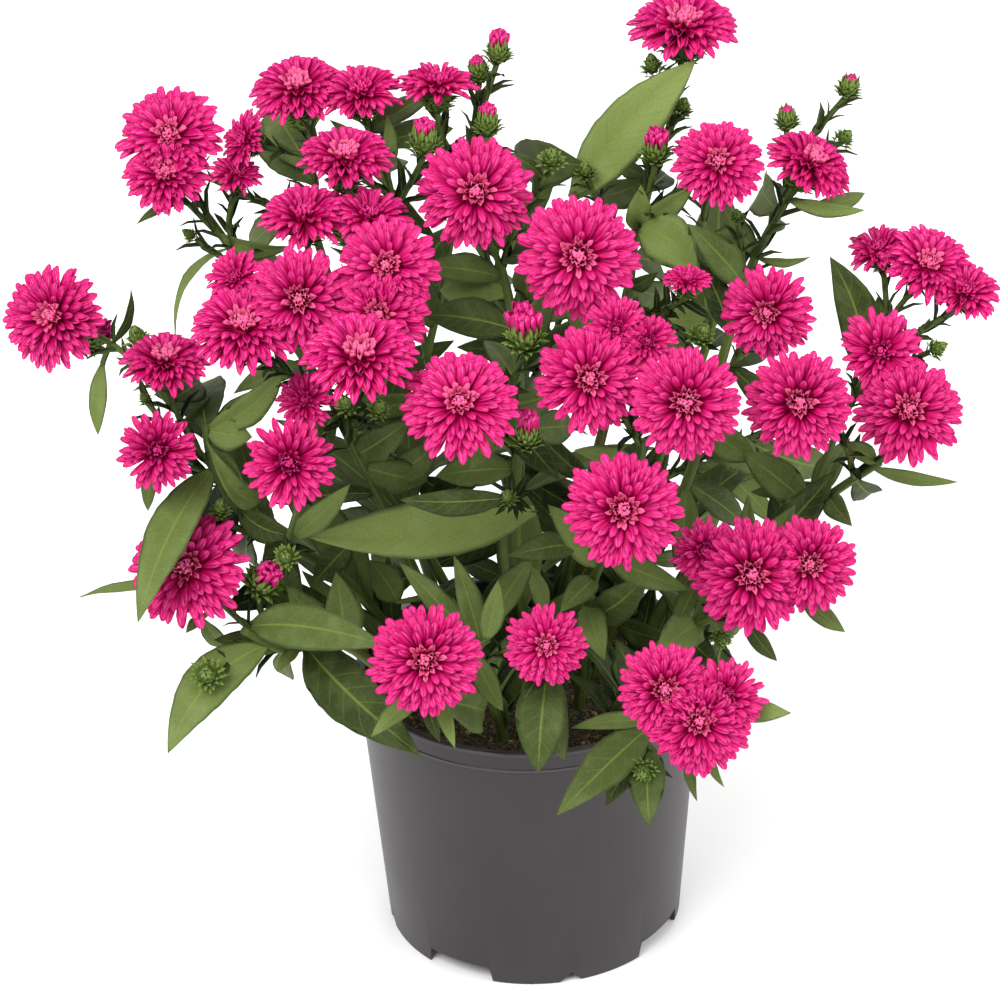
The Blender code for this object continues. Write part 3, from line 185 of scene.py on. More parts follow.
# Each node of blooms: its stem, then each bloom's spot, depth, width, turn and layers of petals. A turn is
# how far it faces right of the viewpoint and above it, in degrees. With no depth a bloom lies in one plane
# with the bloom before it, and faces the same way.
Bloom = namedtuple("Bloom", "spot depth across turn layers")
BLOOMS = {
    "crown": ("top", ((683, 36), 0.038, 0.040, (0, 50), 3)),
    "upper_left": (
        "upper_left",
        ((172, 140), 0.020, 0.039, (-8, 20), 3),
        ((168, 178), None, 0.031, None, 3),
    ),
    "tucked_left": (
        "upper_left",
        ((236, 178), 0.008, 0.020, (15, 45), 2),
        ((250, 142), 0.014, 0.022, (-50, 15), 2),
    ),
    "top_left": (
        "upper_left",
        ((299, 96), 0.028, 0.036, (-10, 48), 3),
        ((362, 100), None, 0.031, None, 2),
    ),
    "top": ("upper_left", ((438, 92), 0.020, 0.029, (5, 62), 2)),
    "high_left": ("upper_left", ((345, 166), -0.010, 0.034, (0, 50), 3)),
    "cluster_top": (
        "left_cluster",
        ((305, 224), -0.028, 0.032, (-5, 45), 2),
        ((370, 223), -0.028, 0.029, (5, 48), 2),
    ),
    "cluster_middle": (
        "left_cluster",
        ((388, 268), -0.062, 0.036, (-6, 8), 3),
        ((380, 318), None, 0.035, None, 3),
        ((300, 300), -0.066, 0.037, (0, 0), 3),
        ((238, 280), -0.052, 0.022, (-20, 20), 2),
        ((243, 333), -0.070, 0.037, (0, 35), 3),
    ),
    "cluster_front": ("left_cluster", ((360, 365), -0.098, 0.040, (0, 42), 3)),
    "left": ("left", ((165, 369), -0.034, 0.032, (0, 52), 3)),
    "far_left": ("left", ((57, 318), 0.000, 0.038, (-18, 5), 3)),
    "left_low": ("left", ((158, 450), -0.052, 0.029, (0, -3), 2)),
    "left_front": ("left", ((290, 463), -0.088, 0.032, (0, 0), 2)),
    "left_hidden": ("left", ((308, 402), -0.064, 0.022, (-20, 10), 2)),
    "low_left": ("low_left", ((190, 570), -0.050, 0.044, (-10, 12), 3)),
    "front": ("front", ((425, 660), -0.104, 0.040, (2, 0), 3)),
    "front_small": ("front", ((546, 645), -0.094, 0.029, (0, 0), 3)),
    "middle_top": ("middle", ((475, 195), -0.034, 0.041, (3, 8), 3)),
    "middle_high": ("middle", ((578, 257), -0.060, 0.043, (0, 0), 3)),
    "middle": ("middle", ((460, 408), -0.104, 0.040, (0, 20), 3)),
    "middle_right": (
        "middle_right",
        ((588, 380), -0.084, 0.038, (3, 3), 3),
        ((616, 330), None, 0.024, None, 2),
        ((646, 342), None, 0.021, None, 2),
    ),
    "right_middle": ("middle_right", ((685, 403), -0.094, 0.039, (0, 0), 3)),
    "right_front": ("middle_right", ((622, 510), -0.106, 0.041, (2, 0), 3)),
    "high_right": ("top", ((718, 166), -0.010, 0.033, (0, 15), 3)),
    "small_right": ("top", ((687, 285), -0.052, 0.018, (0, 55), 2)),
    "upper_right": ("top_right", ((806, 170), -0.002, 0.033, (35, 45), 3)),
    "inner_right": ("top_right", ((768, 312), -0.048, 0.033, (-10, -5), 3)),
    "right": ("right", ((798, 405), -0.076, 0.038, (0, 5), 3)),
    "far_right": (
        "right",
        ((908, 413), -0.044, 0.039, (0, 10), 3),
        ((880, 354), None, 0.031, None, 2),
    ),
    "edge_right": (
        "right",
        ((880, 256), 0.008, 0.024, (-20, 45), 2),
        ((925, 270), 0.002, 0.034, (14, 32), 3),
        ((963, 297), None, 0.026, None, 2),
    ),
    "low_right": (
        "low_right",
        ((750, 575), -0.086, 0.042, (3, 0), 3),
        ((808, 564), None, 0.034, None, 3),
        ((704, 551), None, 0.024, None, 2),
    ),
    "front_right": (
        "low_right",
        ((698, 722), -0.119, 0.037, (2, 3), 3),
        ((664, 690), None, 0.034, None, 3),
        ((724, 698), None, 0.029, None, 2),
    ),
}

# The blooms on the far side, by stem: spot, depth and width. They face out from the plant's heart.
BACK_BLOOMS = {
    "back_left": (
        ((184, 152), 0.062, 0.034),
        ((300, 108), 0.080, 0.034),
        ((345, 222), 0.098, 0.036),
        ((268, 318), 0.086, 0.034),
    ),
    "back": (
        ((462, 200), 0.106, 0.036),
        ((578, 264), 0.120, 0.038),
        ((462, 402), 0.112, 0.034),
        ((598, 398), 0.118, 0.034),
    ),
    "back_right": (
        ((712, 172), 0.092, 0.036),
        ((692, 400), 0.104, 0.032),
        ((768, 318), 0.090, 0.034),
        ((800, 408), 0.064, 0.032),
    ),
}
BACK_LAYERS = 2

# Each stem's buds, laid out as blooms are. Some end in how high their pink brush stands, for their width.
Bud = namedtuple("Bud", "spot depth across turn brush", defaults=(0,))
BUDS = {
    "upper_left": (
        ((498, 50), 0.034, 0.010, (10, 60), 1.1),
        ((478, 70), 0.036, 0.009, (-10, 55), 0.7),
        ((488, 122), 0.014, 0.010, (0, 65), 0.9),
        ((424, 140), 0.000, 0.012, (0, 60), 0.9),
        ((189, 234), 0.018, 0.006, (-60, 30)),
    ),
    "left": (
        ((92, 338), 0.010, 0.012, (40, 30), 1.2),
        ((137, 337), -0.012, 0.010, (-20, 50)),
        ((144, 398), -0.036, 0.005, (-40, 40)),
        ((220, 508), -0.044, 0.008, (0, 50)),
        ((286, 556), -0.066, 0.009, (0, 10)),
    ),
    "low_left": (
        ((207, 674), -0.072, 0.012, (0, 8)),
        ((264, 580), -0.046, 0.014, (20, 20), 1.5),
    ),
    "left_cluster": (
        ((346, 404), -0.074, 0.008, (-10, 30)),
        ((379, 408), -0.070, 0.008, (10, 30)),
    ),
    "middle": (
        ((525, 335), -0.074, 0.014, (-5, 40), 1.6),
        ((527, 435), -0.090, 0.011, (0, 50), 1.5),
        ((507, 497), -0.078, 0.007, (-10, 30)),
        ((551, 158), -0.006, 0.010, (0, 35)),
    ),
    "top": (
        ((585, 170), 0.004, 0.008, (-10, 40)),
        ((652, 64), 0.034, 0.009, (-15, 50)),
        ((682, 105), 0.028, 0.008, (20, 35)),
        ((656, 150), 0.000, 0.011, (0, 50), 1.2),
        ((702, 333), -0.050, 0.010, (10, 30)),
    ),
    "top_right": (
        ((737, 215), -0.006, 0.006, (-10, 40)),
        ((787, 118), 0.028, 0.009, (0, 60), 0.4),
        ((849, 86), 0.030, 0.009, (20, 50), 0.4),
        ((845, 137), 0.026, 0.008, (30, 30)),
    ),
    "right": (((938, 348), -0.022, 0.008, (50, 20)),),
    "low_right": (
        ((643, 772), -0.098, 0.009, (-10, -20)),
        ((722, 640), -0.066, 0.008, (10, -20)),
    ),
}

# Each stem's leaves. A leaf's lean is how much farther back its tip lies than its base. Its roll turns its
# face away from the viewpoint, in degrees. Its arch lifts its middle along its face, and its sway bends it
# sideways. Its tone is how light it is, from 0 to 1: where none is given, it is drawn at random.
Leaf = namedtuple("Leaf", "base tip lean width roll arch sway tone", defaults=(0.0, None))
LEAVES = {
    "upper_left": (
        ((218, 231), (291, 246), 0.000, 0.008, 40, 0.005),
        ((228, 252), (175, 335), -0.01, 0.006, 60, 0.002, 0.009, 0.9),
        ((178, 205), (137, 224), -0.004, 0.004, 30, 0.002),
        ((428, 330), (398, 262), -0.004, 0.012, 30, 0.003),
        ((390, 190), (330, 120), 0.004, 0.008, 30, 0.003),
        ((388, 168), (386, 114), 0.002, 0.006, 30, 0.002),
        ((455, 190), (428, 118), 0.004, 0.007, 30, 0.002),
    ),
    "left": (
        ((102, 345), (131, 290), 0.006, 0.005, 50, 0.003),
        ((103, 362), (98, 435), -0.004, 0.0065, 20, 0.002, 0.000, 0.8),
        ((205, 430), (284, 368), 0.004, 0.011, 25, 0.003, 0.002, 0.75),
        ((262, 500), (207, 442), -0.014, 0.009, 30, 0.004, -0.007),
        ((216, 446), (246, 490), -0.01, 0.008, 10, 0.002),
        ((207, 426), (252, 437), 0.000, 0.011, 10, 0.002),
        ((216, 468), (138, 622), -0.046, 0.015, 15, 0.006, 0.002, 0.62),
        ((240, 500), (300, 536), -0.012, 0.01, 20, 0.003, 0.002),
        ((296, 538), (350, 484), -0.006, 0.009, 20, 0.002),
        ((158, 465), (148, 511), -0.004, 0.006, 30, 0.002),
    ),
    "left_cluster": (
        ((350, 545), (312, 585), -0.018, 0.01, 10, 0.002),
        ((385, 480), (440, 440), 0.004, 0.012, 20, 0.003),
        ((360, 455), (410, 420), -0.012, 0.012, 10, 0.003),
        ((366, 472), (428, 480), 0.004, 0.012, 15, 0.003),
        ((398, 602), (370, 560), 0.004, 0.012, 10, 0.003),
    ),
    "low_left": (
        ((250, 628), (386, 646), -0.034, 0.0155, 5, 0.004, -0.003, 0.45),
        ((290, 655), (214, 640), 0.004, 0.009, 20, 0.002),
        ((266, 643), (168, 753), -0.03, 0.0165, 10, 0.004, 0.005, 0.70),
        ((300, 652), (277, 672), -0.014, 0.0045, 20, 0.001),
        ((310, 652), (420, 755), -0.052, 0.0195, 5, 0.006, 0.001, 0.15),
        ((202, 618), (186, 633), -0.006, 0.004, 20, 0.001),
        ((190, 590), (80, 597), 0.01, 0.006, 50, 0.003),
        ((330, 640), (286, 585), -0.008, 0.012, 10, 0.003),
        ((344, 646), (336, 572), -0.006, 0.014, 10, 0.003),
    ),
    "front": (
        ((426, 690), (371, 737), -0.014, 0.0075, 20, 0.002, 0.000, 0.65),
        ((434, 692), (440, 742), -0.01, 0.0055, 20, 0.002),
        ((440, 694), (455, 748), -0.018, 0.0055, 10, 0.002, 0.000, 0.8),
        ((475, 660), (503, 711), -0.012, 0.0085, 10, 0.002),
        ((548, 668), (538, 773), -0.02, 0.017, 5, 0.006, 0.000, 0.25),
        ((546, 668), (521, 705), -0.022, 0.007, 20, 0.002),
        ((488, 648), (454, 556), 0.012, 0.0085, 15, 0.002),
        ((482, 650), (399, 562), 0.01, 0.009, 10, 0.002),
        ((490, 640), (498, 580), 0.006, 0.008, 15, 0.002),
        ((556, 660), (564, 760), -0.006, 0.011, 15, 0.004),
    ),
    "middle": (
        ((535, 511), (308, 537), -0.02, 0.02, 10, 0.004, -0.003, 1.0),
        ((545, 612), (525, 560), -0.002, 0.007, 15, 0.002),
        ((530, 560), (482, 640), -0.03, 0.01, 15, 0.003),
        ((516, 430), (560, 480), -0.03, 0.01, 10, 0.003),
        ((514, 330), (424, 315), 0.004, 0.014, 20, 0.004, 0.000, 0.2),
        ((505, 275), (424, 268), 0.01, 0.011, 25, 0.003),
        ((548, 170), (505, 153), 0.004, 0.005, 40, 0.002),
        ((518, 400), (470, 470), -0.026, 0.011, 15, 0.003),
        ((516, 466), (436, 476), 0.006, 0.012, 15, 0.003),
        ((508, 298), (440, 290), 0.016, 0.013, 15, 0.003),
    ),
    "middle_right": (
        ((575, 545), (508, 556), -0.022, 0.01, 15, 0.003),
        ((578, 615), (650, 571), -0.026, 0.0125, 10, 0.003, 0.002),
        ((615, 560), (690, 590), -0.02, 0.01, 15, 0.003),
        ((590, 600), (605, 660), -0.026, 0.011, 10, 0.003),
        ((640, 470), (574, 450), -0.012, 0.008, 20, 0.002),
        ((600, 562), (548, 505), -0.004, 0.012, 10, 0.003),
        ((600, 580), (560, 612), -0.02, 0.009, 10, 0.002),
    ),
    "top": (
        ((571, 199), (695, 61), 0.02, 0.0195, 12, 0.004, -0.003, 1.0),
        ((630, 225), (641, 185), -0.006, 0.009, 10, 0.002, 0.000, 0.9),
        ((637, 226), (699, 272), -0.014, 0.0175, 10, 0.005, -0.003, 0.9),
        ((645, 222), (694, 186), -0.004, 0.008, 20, 0.002, 0.000, 0.8),
        ((630, 290), (658, 272), -0.01, 0.006, 20, 0.002),
        ((634, 315), (706, 318), 0.004, 0.013, 10, 0.003),
        ((618, 360), (560, 300), 0.01, 0.012, 20, 0.003),
    ),
    "top_right": (
        ((790, 203), (865, 210), -0.004, 0.006, 25, 0.003, 0.000, 0.9),
        ((812, 205), (865, 193), 0.01, 0.006, 20, 0.003),
        ((754, 260), (810, 257), -0.004, 0.005, 50, 0.002),
        ((742, 290), (704, 240), 0.004, 0.007, 20, 0.002),
        ((745, 282), (688, 224), -0.004, 0.012, 15, 0.003),
        ((756, 258), (722, 208), 0.006, 0.007, 20, 0.002),
        ((704, 420), (762, 470), 0.012, 0.013, 10, 0.003),
        ((728, 340), (700, 262), 0.008, 0.01, 20, 0.003),
        ((700, 430), (758, 460), -0.008, 0.012, 15, 0.003),
    ),
    "right": (
        ((860, 380), (830, 257), 0.004, 0.015, 15, 0.002, 0.003, 0.15),
        ((890, 338), (878, 296), 0.01, 0.006, 20, 0.002),
        ((876, 466), (958, 482), -0.01, 0.0055, 30, 0.002),
        ((874, 464), (838, 444), -0.006, 0.007, 20, 0.002),
        ((828, 500), (852, 526), -0.014, 0.008, 10, 0.003),
        ((806, 508), (742, 452), 0.008, 0.013, 10, 0.003),
        ((765, 548), (836, 470), -0.012, 0.0125, 10, 0.003),
        ((750, 560), (795, 505), -0.034, 0.011, 10, 0.003),
        ((735, 575), (748, 495), -0.018, 0.008, 15, 0.002),
    ),
    "low_right": (
        ((700, 625), (655, 655), -0.03, 0.013, 10, 0.003),
        ((650, 690), (616, 640), 0.000, 0.011, 15, 0.003),
        ((645, 725), (571, 728), -0.016, 0.0065, 20, 0.003),
        ((648, 728), (557, 815), -0.034, 0.0145, 5, 0.006, 0.000, 0.35),
        ((655, 745), (649, 827), -0.022, 0.0125, 5, 0.004, 0.000, 0.25),
        ((650, 735), (606, 806), -0.01, 0.0095, 10, 0.003),
        ((722, 700), (791, 713), -0.01, 0.009, 15, 0.003, 0.000, 0.8),
        ((690, 745), (697, 801), -0.01, 0.0045, 30, 0.002),
        ((705, 740), (724, 787), -0.008, 0.004, 30, 0.002),
        ((800, 590), (845, 632), -0.006, 0.007, 15, 0.003),
        ((745, 620), (777, 661), -0.006, 0.006, 15, 0.002),
        ((690, 640), (720, 668), -0.022, 0.01, 10, 0.002),
    ),
}
# How light leaves are drawn where no tone is given: those of the table, then those placed by rule inside and
# at the back, kept darker as painted shade.
LEAF_TONES = (0.05, 0.80)
SHADED_FILL_TONES = (0.0, 0.50)

# Rule for the leaves that fill the inside and the far side
FILL_SEED = 7
FILL_MIDDLE = Vector((552.0, 430.0))
FILL_HALF = Vector((262.0, 212.0))
FILL_PITCH = 23.0
FILL_REACH = 11.0
FILL_LENGTH = (0.034, 0.058)
FILL_WIDTH_SHARE = 0.29
FILL_ARCH_SHARE = 0.07
FILL_LEANS = (0.0, -0.014, 0.016, -0.028, 0.032, 0.048)
FILL_FAR = (14.0, 95.0)
FILL_STRETCHES = (1.0, 0.45)
FILL_AHEAD = 46.0
FILL_ROLL = (-35, 35)
FILL_LOWEST = 0.106
LEAF_GAP = 0.0042
OWN_LEAF_GAP = 0.0026
GOLDEN_TURN = math.radians(137.5)
FAR_EVERY = 0.009
FAR_FROM = 0.120
FAR_SIDE = 0.022
FAR_LENGTH = (0.044, 0.070)
BLADE_ROOT_MARKS = 10


def seen_at(spot, depth):
    """The point behind a spot of the picture, this far behind the pot's axis."""
    across = (spot[0] - VIEW_MIDDLE.x) / VIEW_FOCUS
    above = (VIEW_MIDDLE.y - spot[1]) / VIEW_FOCUS
    ray = FORWARD + RIGHT * across + UP * above
    return VIEW_POINT + ray * ((POT_AXIS.y + depth - VIEW_POINT.y) / ray.y)


def spot_of(point):
    """Where the picture shows this point."""
    out = point - VIEW_POINT
    away = out.dot(FORWARD)
    return VIEW_MIDDLE + Vector((out.dot(RIGHT), -out.dot(UP))) * (VIEW_FOCUS / away)


def facing(turn, place):
    """The way a bloom or bud faces. With no turn it faces out from the plant's heart."""
    if turn is None:
        return (place - POT_AXIS - Vector((0.0, 0.0, POT_HEIGHT))).normalized()
    right, up = (math.radians(angle) for angle in turn)
    level = math.cos(up)
    return RIGHT * (math.sin(right) * level) + UP * math.sin(up) - FORWARD * (math.cos(right) * level)


def outward(turn, rise=0.0):
    """The way out from an upright axis at this turn, one long on the level."""
    return Vector((math.cos(turn), math.sin(turn), rise))


def smooth(points, steps):
    """A curve through the points, with this many steps from each to the next."""
    ends = [points[0] * 2 - points[1], *points, points[-1] * 2 - points[-2]]
    run = []
    for before, start, end, after in zip(ends, ends[1:], ends[2:], ends[3:]):
        for step in range(steps):
            t = step / steps
            run.append(
                0.5
                * (
                    start * 2
                    + (end - before) * t
                    + (before * 2 - start * 5 + end * 4 - after) * t * t
                    + (start * 3 - before - end * 3 + after) * t ** 3
                )
            )
    return [*run, points[-1].copy()]


def hook(start, start_way, end, end_way, steps):
    """A stalk's curve, which leaves along one way and arrives along another."""
    reach = (end - start).length
    one = start + start_way * (reach * 0.30)
    two = end - end_way * (reach * 0.38)
    run = []
    for step in range(steps + 1):
        t = step / steps
        u = 1 - t
        run.append(start * u ** 3 + one * (3 * u * u * t) + two * (3 * u * t * t) + end * t ** 3)
    return run


Tube = namedtuple("Tube", "points radii head kind")
Blade = namedtuple("Blade", "base tip face width arch sway tones")
Head = namedtuple("Head", "place way across layers brush")


class Plant:
    """One leafy stem's tubes, blades, cups and buds, as places and sizes."""

    def __init__(self, root, branches):
        self.tubes = []
        self.blades = []
        self.buds = []
        foot = POT_AXIS + Vector((*root, STEM_HOLE_FLOOR + FIT_GAP))
        clear = Vector((foot.x, foot.y, SOIL_CLEAR_HEIGHT))
        for number, branch in enumerate(branches):
            way = [seen_at(spot, depth) for spot, depth in branch]
            if number == 0:
                run = [foot, *smooth([clear, *way], 2)]
                self.add_tube(run, STEM_RADIUS, BRANCH_RADIUS)
            else:
                start, _ = self.nearest(way[0] - Vector((0.0, 0.0, BRANCH_DROP)))
                self.add_tube(smooth([start, *way], 2), BRANCH_RADIUS, STALK_RADIUS)

    def add_tube(self, points, first, last):
        count = len(points) - 1
        radii = [first + (last - first) * i / count for i in range(count + 1)]
        self.tubes.append(Tube(points, radii, None, "stem"))

    def marks(self):
        """Points along every tube above the soil and below its cup, each with the way the tube runs there."""
        for tube in self.tubes:
            for start, end, radius in zip(tube.points, tube.points[1:], tube.radii[1:]):
                if end.z < LOWEST_FORK or radius > STEM_RADIUS:
                    continue
                for part in (0.0, 0.25, 0.5, 0.75):
                    spot = start.lerp(end, part)
                    if spot.z > LOWEST_FORK:
                        yield spot, (end - start).normalized()

    def nearest(self, target):
        return min(self.marks(), key=lambda mark: (mark[0] - target).length)

    def nearest_seen(self, spot):
        return min(self.marks(), key=lambda mark: (spot_of(mark[0]) - Vector(spot)).length)

    def add_stalk(self, head, foot, profile, kind):
        """A stalk from the nearest fork, which widens at its end into a bloom's cup or a bud."""
        end = head.place - head.way * foot
        start, way = self.nearest(end - head.way * STALK_BACK - Vector((0.0, 0.0, STALK_DROP)))
        points = hook(start, way, end, head.way, 2)
        radii = [STALK_RADIUS * 1.15, STALK_RADIUS * 1.05, STALK_RADIUS]
        for height, radius in profile:
            points.append(head.place + head.way * height)
            radii.append(radius)
        self.tubes.append(Tube(points, radii, head, kind))

    def add_blade(self, leaf):
        start, _ = self.nearest_seen(leaf.base)
        depth = start.y - POT_AXIS.y
        base = seen_at(leaf.base, depth)
        if (spot_of(start) - Vector(leaf.base)).length < SAME_SPOT:
            base = start
        else:
            sunk = base + (seen_at(leaf.tip, depth) - base).normalized() * TWIG_SUNK
            self.add_tube([start, base, sunk], STALK_RADIUS, STALK_RADIUS * 0.9)
        tip = seen_at(leaf.tip, depth + leaf.lean)
        face = blade_face(base, tip, VIEW_POINT - base, leaf.roll)
        tones = LEAF_TONES if leaf.tone is None else (leaf.tone, leaf.tone)
        self.blades.append(Blade(base, tip, face, leaf.width, leaf.arch, leaf.sway, tones))


def blade_face(base, tip, toward, roll):
    """The way a blade's face looks: square to its run and as near to a way as it can, then rolled."""
    along = (tip - base).normalized()
    face = (toward - along * toward.dot(along)).normalized()
    return Quaternion(along, math.radians(roll)) @ face


def blade_point(blade, along, side):
    """A point on a blade: how far along it, and how far to a side from -1 to 1."""
    run = blade.tip - blade.base
    edge = run.normalized().cross(blade.face)
    bend = 4 * along * (1 - along)
    half = blade.width / 2 * blade_share(along)
    middle = blade.base + run * along + blade.face * (blade.arch * bend) + edge * (blade.sway * bend)
    return middle + edge * (half * side) + blade.face * (half * BLADE_FOLD * abs(side))


def blade_share(along):
    """A lance-shaped blade's width here, as a share of its full width."""
    return max(math.sin(math.pi * along ** 0.86) ** 0.85 if 0 < along < 1 else 0.0, 0.16 * (1 - along))


def bloom_nodes():
    """Every node of blooms, with its stem and its blooms, those of the far side last."""
    for node, (stem, *rows) in BLOOMS.items():
        yield node, stem, [Bloom(*row) for row in rows]
    far_side = [(stem, row) for stem, rows in BACK_BLOOMS.items() for row in rows]
    for number, (stem, row) in enumerate(far_side):
        yield f"back_{number + 1}", stem, [Bloom(*row, None, BACK_LAYERS)]


def lay_out():
    """Every stem with its stalks, leaves, cups and buds, and every bloom's place.

    Blooms that share a plane are a little above one another, and their cups all end under that plane.
    """
    plants = {name: Plant(root, branches) for name, (root, *branches) in STEMS.items()}
    heads = {}
    for node, stem, blooms in bloom_nodes():
        heads[node] = []
        for bloom in blooms:
            if bloom.depth is None:
                lift += GROUP_STEP
                ray = seen_at(bloom.spot, 0.0) - VIEW_POINT
                reach = (head.place - VIEW_POINT).dot(way) / ray.dot(way)
                place = VIEW_POINT + ray * reach + way * GROUP_STEP
            else:
                lift = FIT_GAP
                place = seen_at(bloom.spot, bloom.depth)
                way = facing(bloom.turn, place)
            head = Head(place, way, bloom.across, bloom.layers, 0)
            heads[node].append(head)
            wide = head.across * CUP_RADIUS_SHARE
            deep = head.across * CUP_DEPTH_SHARE
            plants[stem].add_stalk(head, deep, ((-deep * 0.66, wide * 0.86), (-lift, wide)), "cup")
    for stem, rows in BUDS.items():
        for bud in (Bud(*row) for row in rows):
            place = seen_at(bud.spot, bud.depth)
            head = Head(place, facing(bud.turn, place), bud.across, 0, bud.brush)
            wide = head.across / 2
            plants[stem].add_stalk(head, wide, ((-wide * 0.45, wide), (wide, wide * 0.45)), "bud")
            plants[stem].buds.append(head)
    for stem, rows in LEAVES.items():
        for row in rows:
            plants[stem].add_blade(Leaf(*row))
    fill_leaves(plants, heads)
    return plants, heads


def blade_marks(blade):
    """Places all over a blade, to measure how near other things are."""
    return np.array(
        [blade_point(blade, i / 8, side) for i in range(1, 9) for side in (-1, -0.5, 0, 0.5, 1)]
    )


def nearest_gap(marks, others):
    if not len(others):
        return 1.0
    return float(np.sqrt(((marks[:, None] - others[None]) ** 2).sum(axis=2).min()))


def picture_places(marks):
    """Where places show in the picture, and how far off they are, in metres times its focus."""
    out = marks - np.array(VIEW_POINT)
    away = out @ np.array(FORWARD)
    right = out @ np.array(RIGHT) / away * VIEW_FOCUS
    up = out @ np.array(UP) / away * VIEW_FOCUS
    return np.stack([VIEW_MIDDLE.x + right, VIEW_MIDDLE.y - up], 1), away


# How clear of blooms leaves stay: past their rim, then as shares of their radius over them, round their
# cups, down their cups, off what shows of them and off the spot that a new leaf starts from. The last
# value is how far behind the pot's axis a bloom still covers a spot.
Berth = namedtuple("Berth", "rim over cup_width cup_depth hiding showing behind")


class Room:
    """What already stands where: it says whether a new blade is clear of it all."""

    berth = Berth(0.003, 0.5, 0.40, 0.50, 0.80, 0.90, NEAR_SIDE)

    def __init__(self, plants, heads):
        self.blades = {
            name: np.concatenate([blade_marks(blade) for blade in plant.blades] or [np.zeros((0, 3))])
            for name, plant in plants.items()
        }
        self.leaves = np.concatenate(list(self.blades.values()))
        self.spots, self.away = picture_places(self.leaves)
        self.tubes = {name: np.array([mark for mark, _ in plant.marks()]) for name, plant in plants.items()}
        self.buds = np.array([bud.place for plant in plants.values() for bud in plant.buds])
        heads = [head for group in heads.values() for head in group]
        self.places = np.array([head.place for head in heads])
        self.ways = np.array([head.way for head in heads])
        self.radii = np.array([head.across / 2 for head in heads])[:, None]
        self.near = self.places[:, 1] < POT_AXIS.y + self.berth.behind
        self.head_spots = picture_places(self.places)[0]

    def add(self, name, blade):
        marks = blade_marks(blade)
        self.blades[name] = np.concatenate([self.blades[name], marks])
        self.leaves = np.concatenate([self.leaves, marks])
        self.spots = np.concatenate([self.spots, picture_places(marks)[0]])

    def shows(self, spot, reach):
        """Whether the picture already shows a leaf or a bloom on this spot."""
        off = np.hypot(*(self.head_spots - spot).T)
        if (self.near & (off < self.radii[:, 0] * SPOTS_PER_METRE * self.berth.showing)).any():
            return True
        return bool((np.hypot(*(self.spots - spot).T) < reach).any())

    def takes(self, name, blade):
        marks = blade_marks(blade)
        free = marks[BLADE_ROOT_MARKS:]
        if free[:, 2].min() < FILL_LOWEST:
            return False
        for other in self.blades:
            own = other == name
            if nearest_gap(free, self.blades[other]) < (OWN_LEAF_GAP if own else LEAF_GAP):
                return False
            if not own and nearest_gap(marks, self.tubes[other]) < LEAF_GAP:
                return False
        return nearest_gap(free, self.buds) >= 2 * LEAF_GAP and not self.in_blooms(marks)

    def in_blooms(self, marks):
        """Whether any of these marks is in a bloom or its cup, or hides a bloom from the viewpoint."""
        berth, radius = self.berth, self.radii
        out = marks[None] - self.places[:, None]
        up = (out * self.ways[:, None]).sum(axis=2)
        square = (out ** 2).sum(axis=2)
        aside = np.sqrt(np.maximum(square - up ** 2, 0.0))
        in_bloom = (aside < radius + berth.rim) & (up > -0.003) & (up < radius * berth.over + 0.003)
        in_cup = (aside < radius * berth.cup_width + berth.rim) & (up > -radius * berth.cup_depth)
        in_cup &= up < 0.0
        toward = out @ np.array(FORWARD)
        seen_aside = np.sqrt(np.maximum(square - toward ** 2, 0.0))
        return bool((in_bloom | in_cup | ((seen_aside < radius * berth.hiding) & (toward < 0.0))).any())


def fill_leaves(plants, heads):
    """Leaves by rule: over the inside as the picture shows it, then up the stems at the back."""
    draw = random.Random(FILL_SEED)
    room = Room(plants, heads)
    rows = round(2 * FILL_HALF.y / FILL_PITCH)
    columns = round(2 * FILL_HALF.x / FILL_PITCH)
    for row in range(rows + 1):
        for column in range(columns + 1):
            right = column + (row % 2) / 2 + draw.uniform(-0.2, 0.2)
            share = Vector((right, row + draw.uniform(-0.2, 0.2))) * FILL_PITCH - FILL_HALF
            if (share.x / FILL_HALF.x) ** 2 + (share.y / FILL_HALF.y) ** 2 < 1:
                fill_spot(plants, room, FILL_MIDDLE + share, draw)
    number = 0
    for name, plant in plants.items():
        for place, _ in spaced(plant.tubes[0].points, FAR_EVERY):
            number += 1
            turn = number * GOLDEN_TURN + draw.uniform(-0.3, 0.3)
            out = outward(turn, draw.uniform(0.2, 0.7)).normalized()
            tip = place + out * draw.uniform(*FAR_LENGTH)
            if place.z > FAR_FROM and tip.y > POT_AXIS.y + FAR_SIDE:
                try_blade(plants, room, name, place, tip, Vector((0, 0, 1)))


def spaced(points, every):
    travelled = 0.0
    for start, end in zip(points, points[1:]):
        travelled += (end - start).length
        while travelled > every:
            travelled -= every
            yield end.lerp(start, travelled / (end - start).length), end - start


def marks_near(plants, spot):
    """How far each place on a stem shows from a spot, its number, its stem and itself, the nearest first."""
    marks = ((name, mark) for name, plant in plants.items() for mark, _ in plant.marks())
    return sorted(
        ((spot_of(mark) - spot).length, number, name, mark) for number, (name, mark) in enumerate(marks)
    )


def fill_spot(plants, room, spot, draw):
    """One leaf that shows on this spot, if there is room for it."""
    if room.shows(spot, FILL_REACH):
        return
    used = Counter()
    for far, _, name, base in marks_near(plants, spot):
        if used[name] > 1 or not FILL_FAR[0] * (1 + 2 * used[name]) < far < FILL_FAR[1]:
            continue
        used[name] += 1
        depth = base.y - POT_AXIS.y
        for stretch in FILL_STRETCHES:
            ahead = spot + (spot - spot_of(base)) * (stretch * max(1.0, FILL_AHEAD / far))
            for lean in FILL_LEANS:
                tip = seen_at(ahead, depth + lean)
                size = min(max((tip - base).length, FILL_LENGTH[0]), FILL_LENGTH[1])
                tip = base + (tip - base).normalized() * size
                if try_blade(plants, room, name, base, tip, VIEW_POINT - base, draw.uniform(*FILL_ROLL)):
                    return


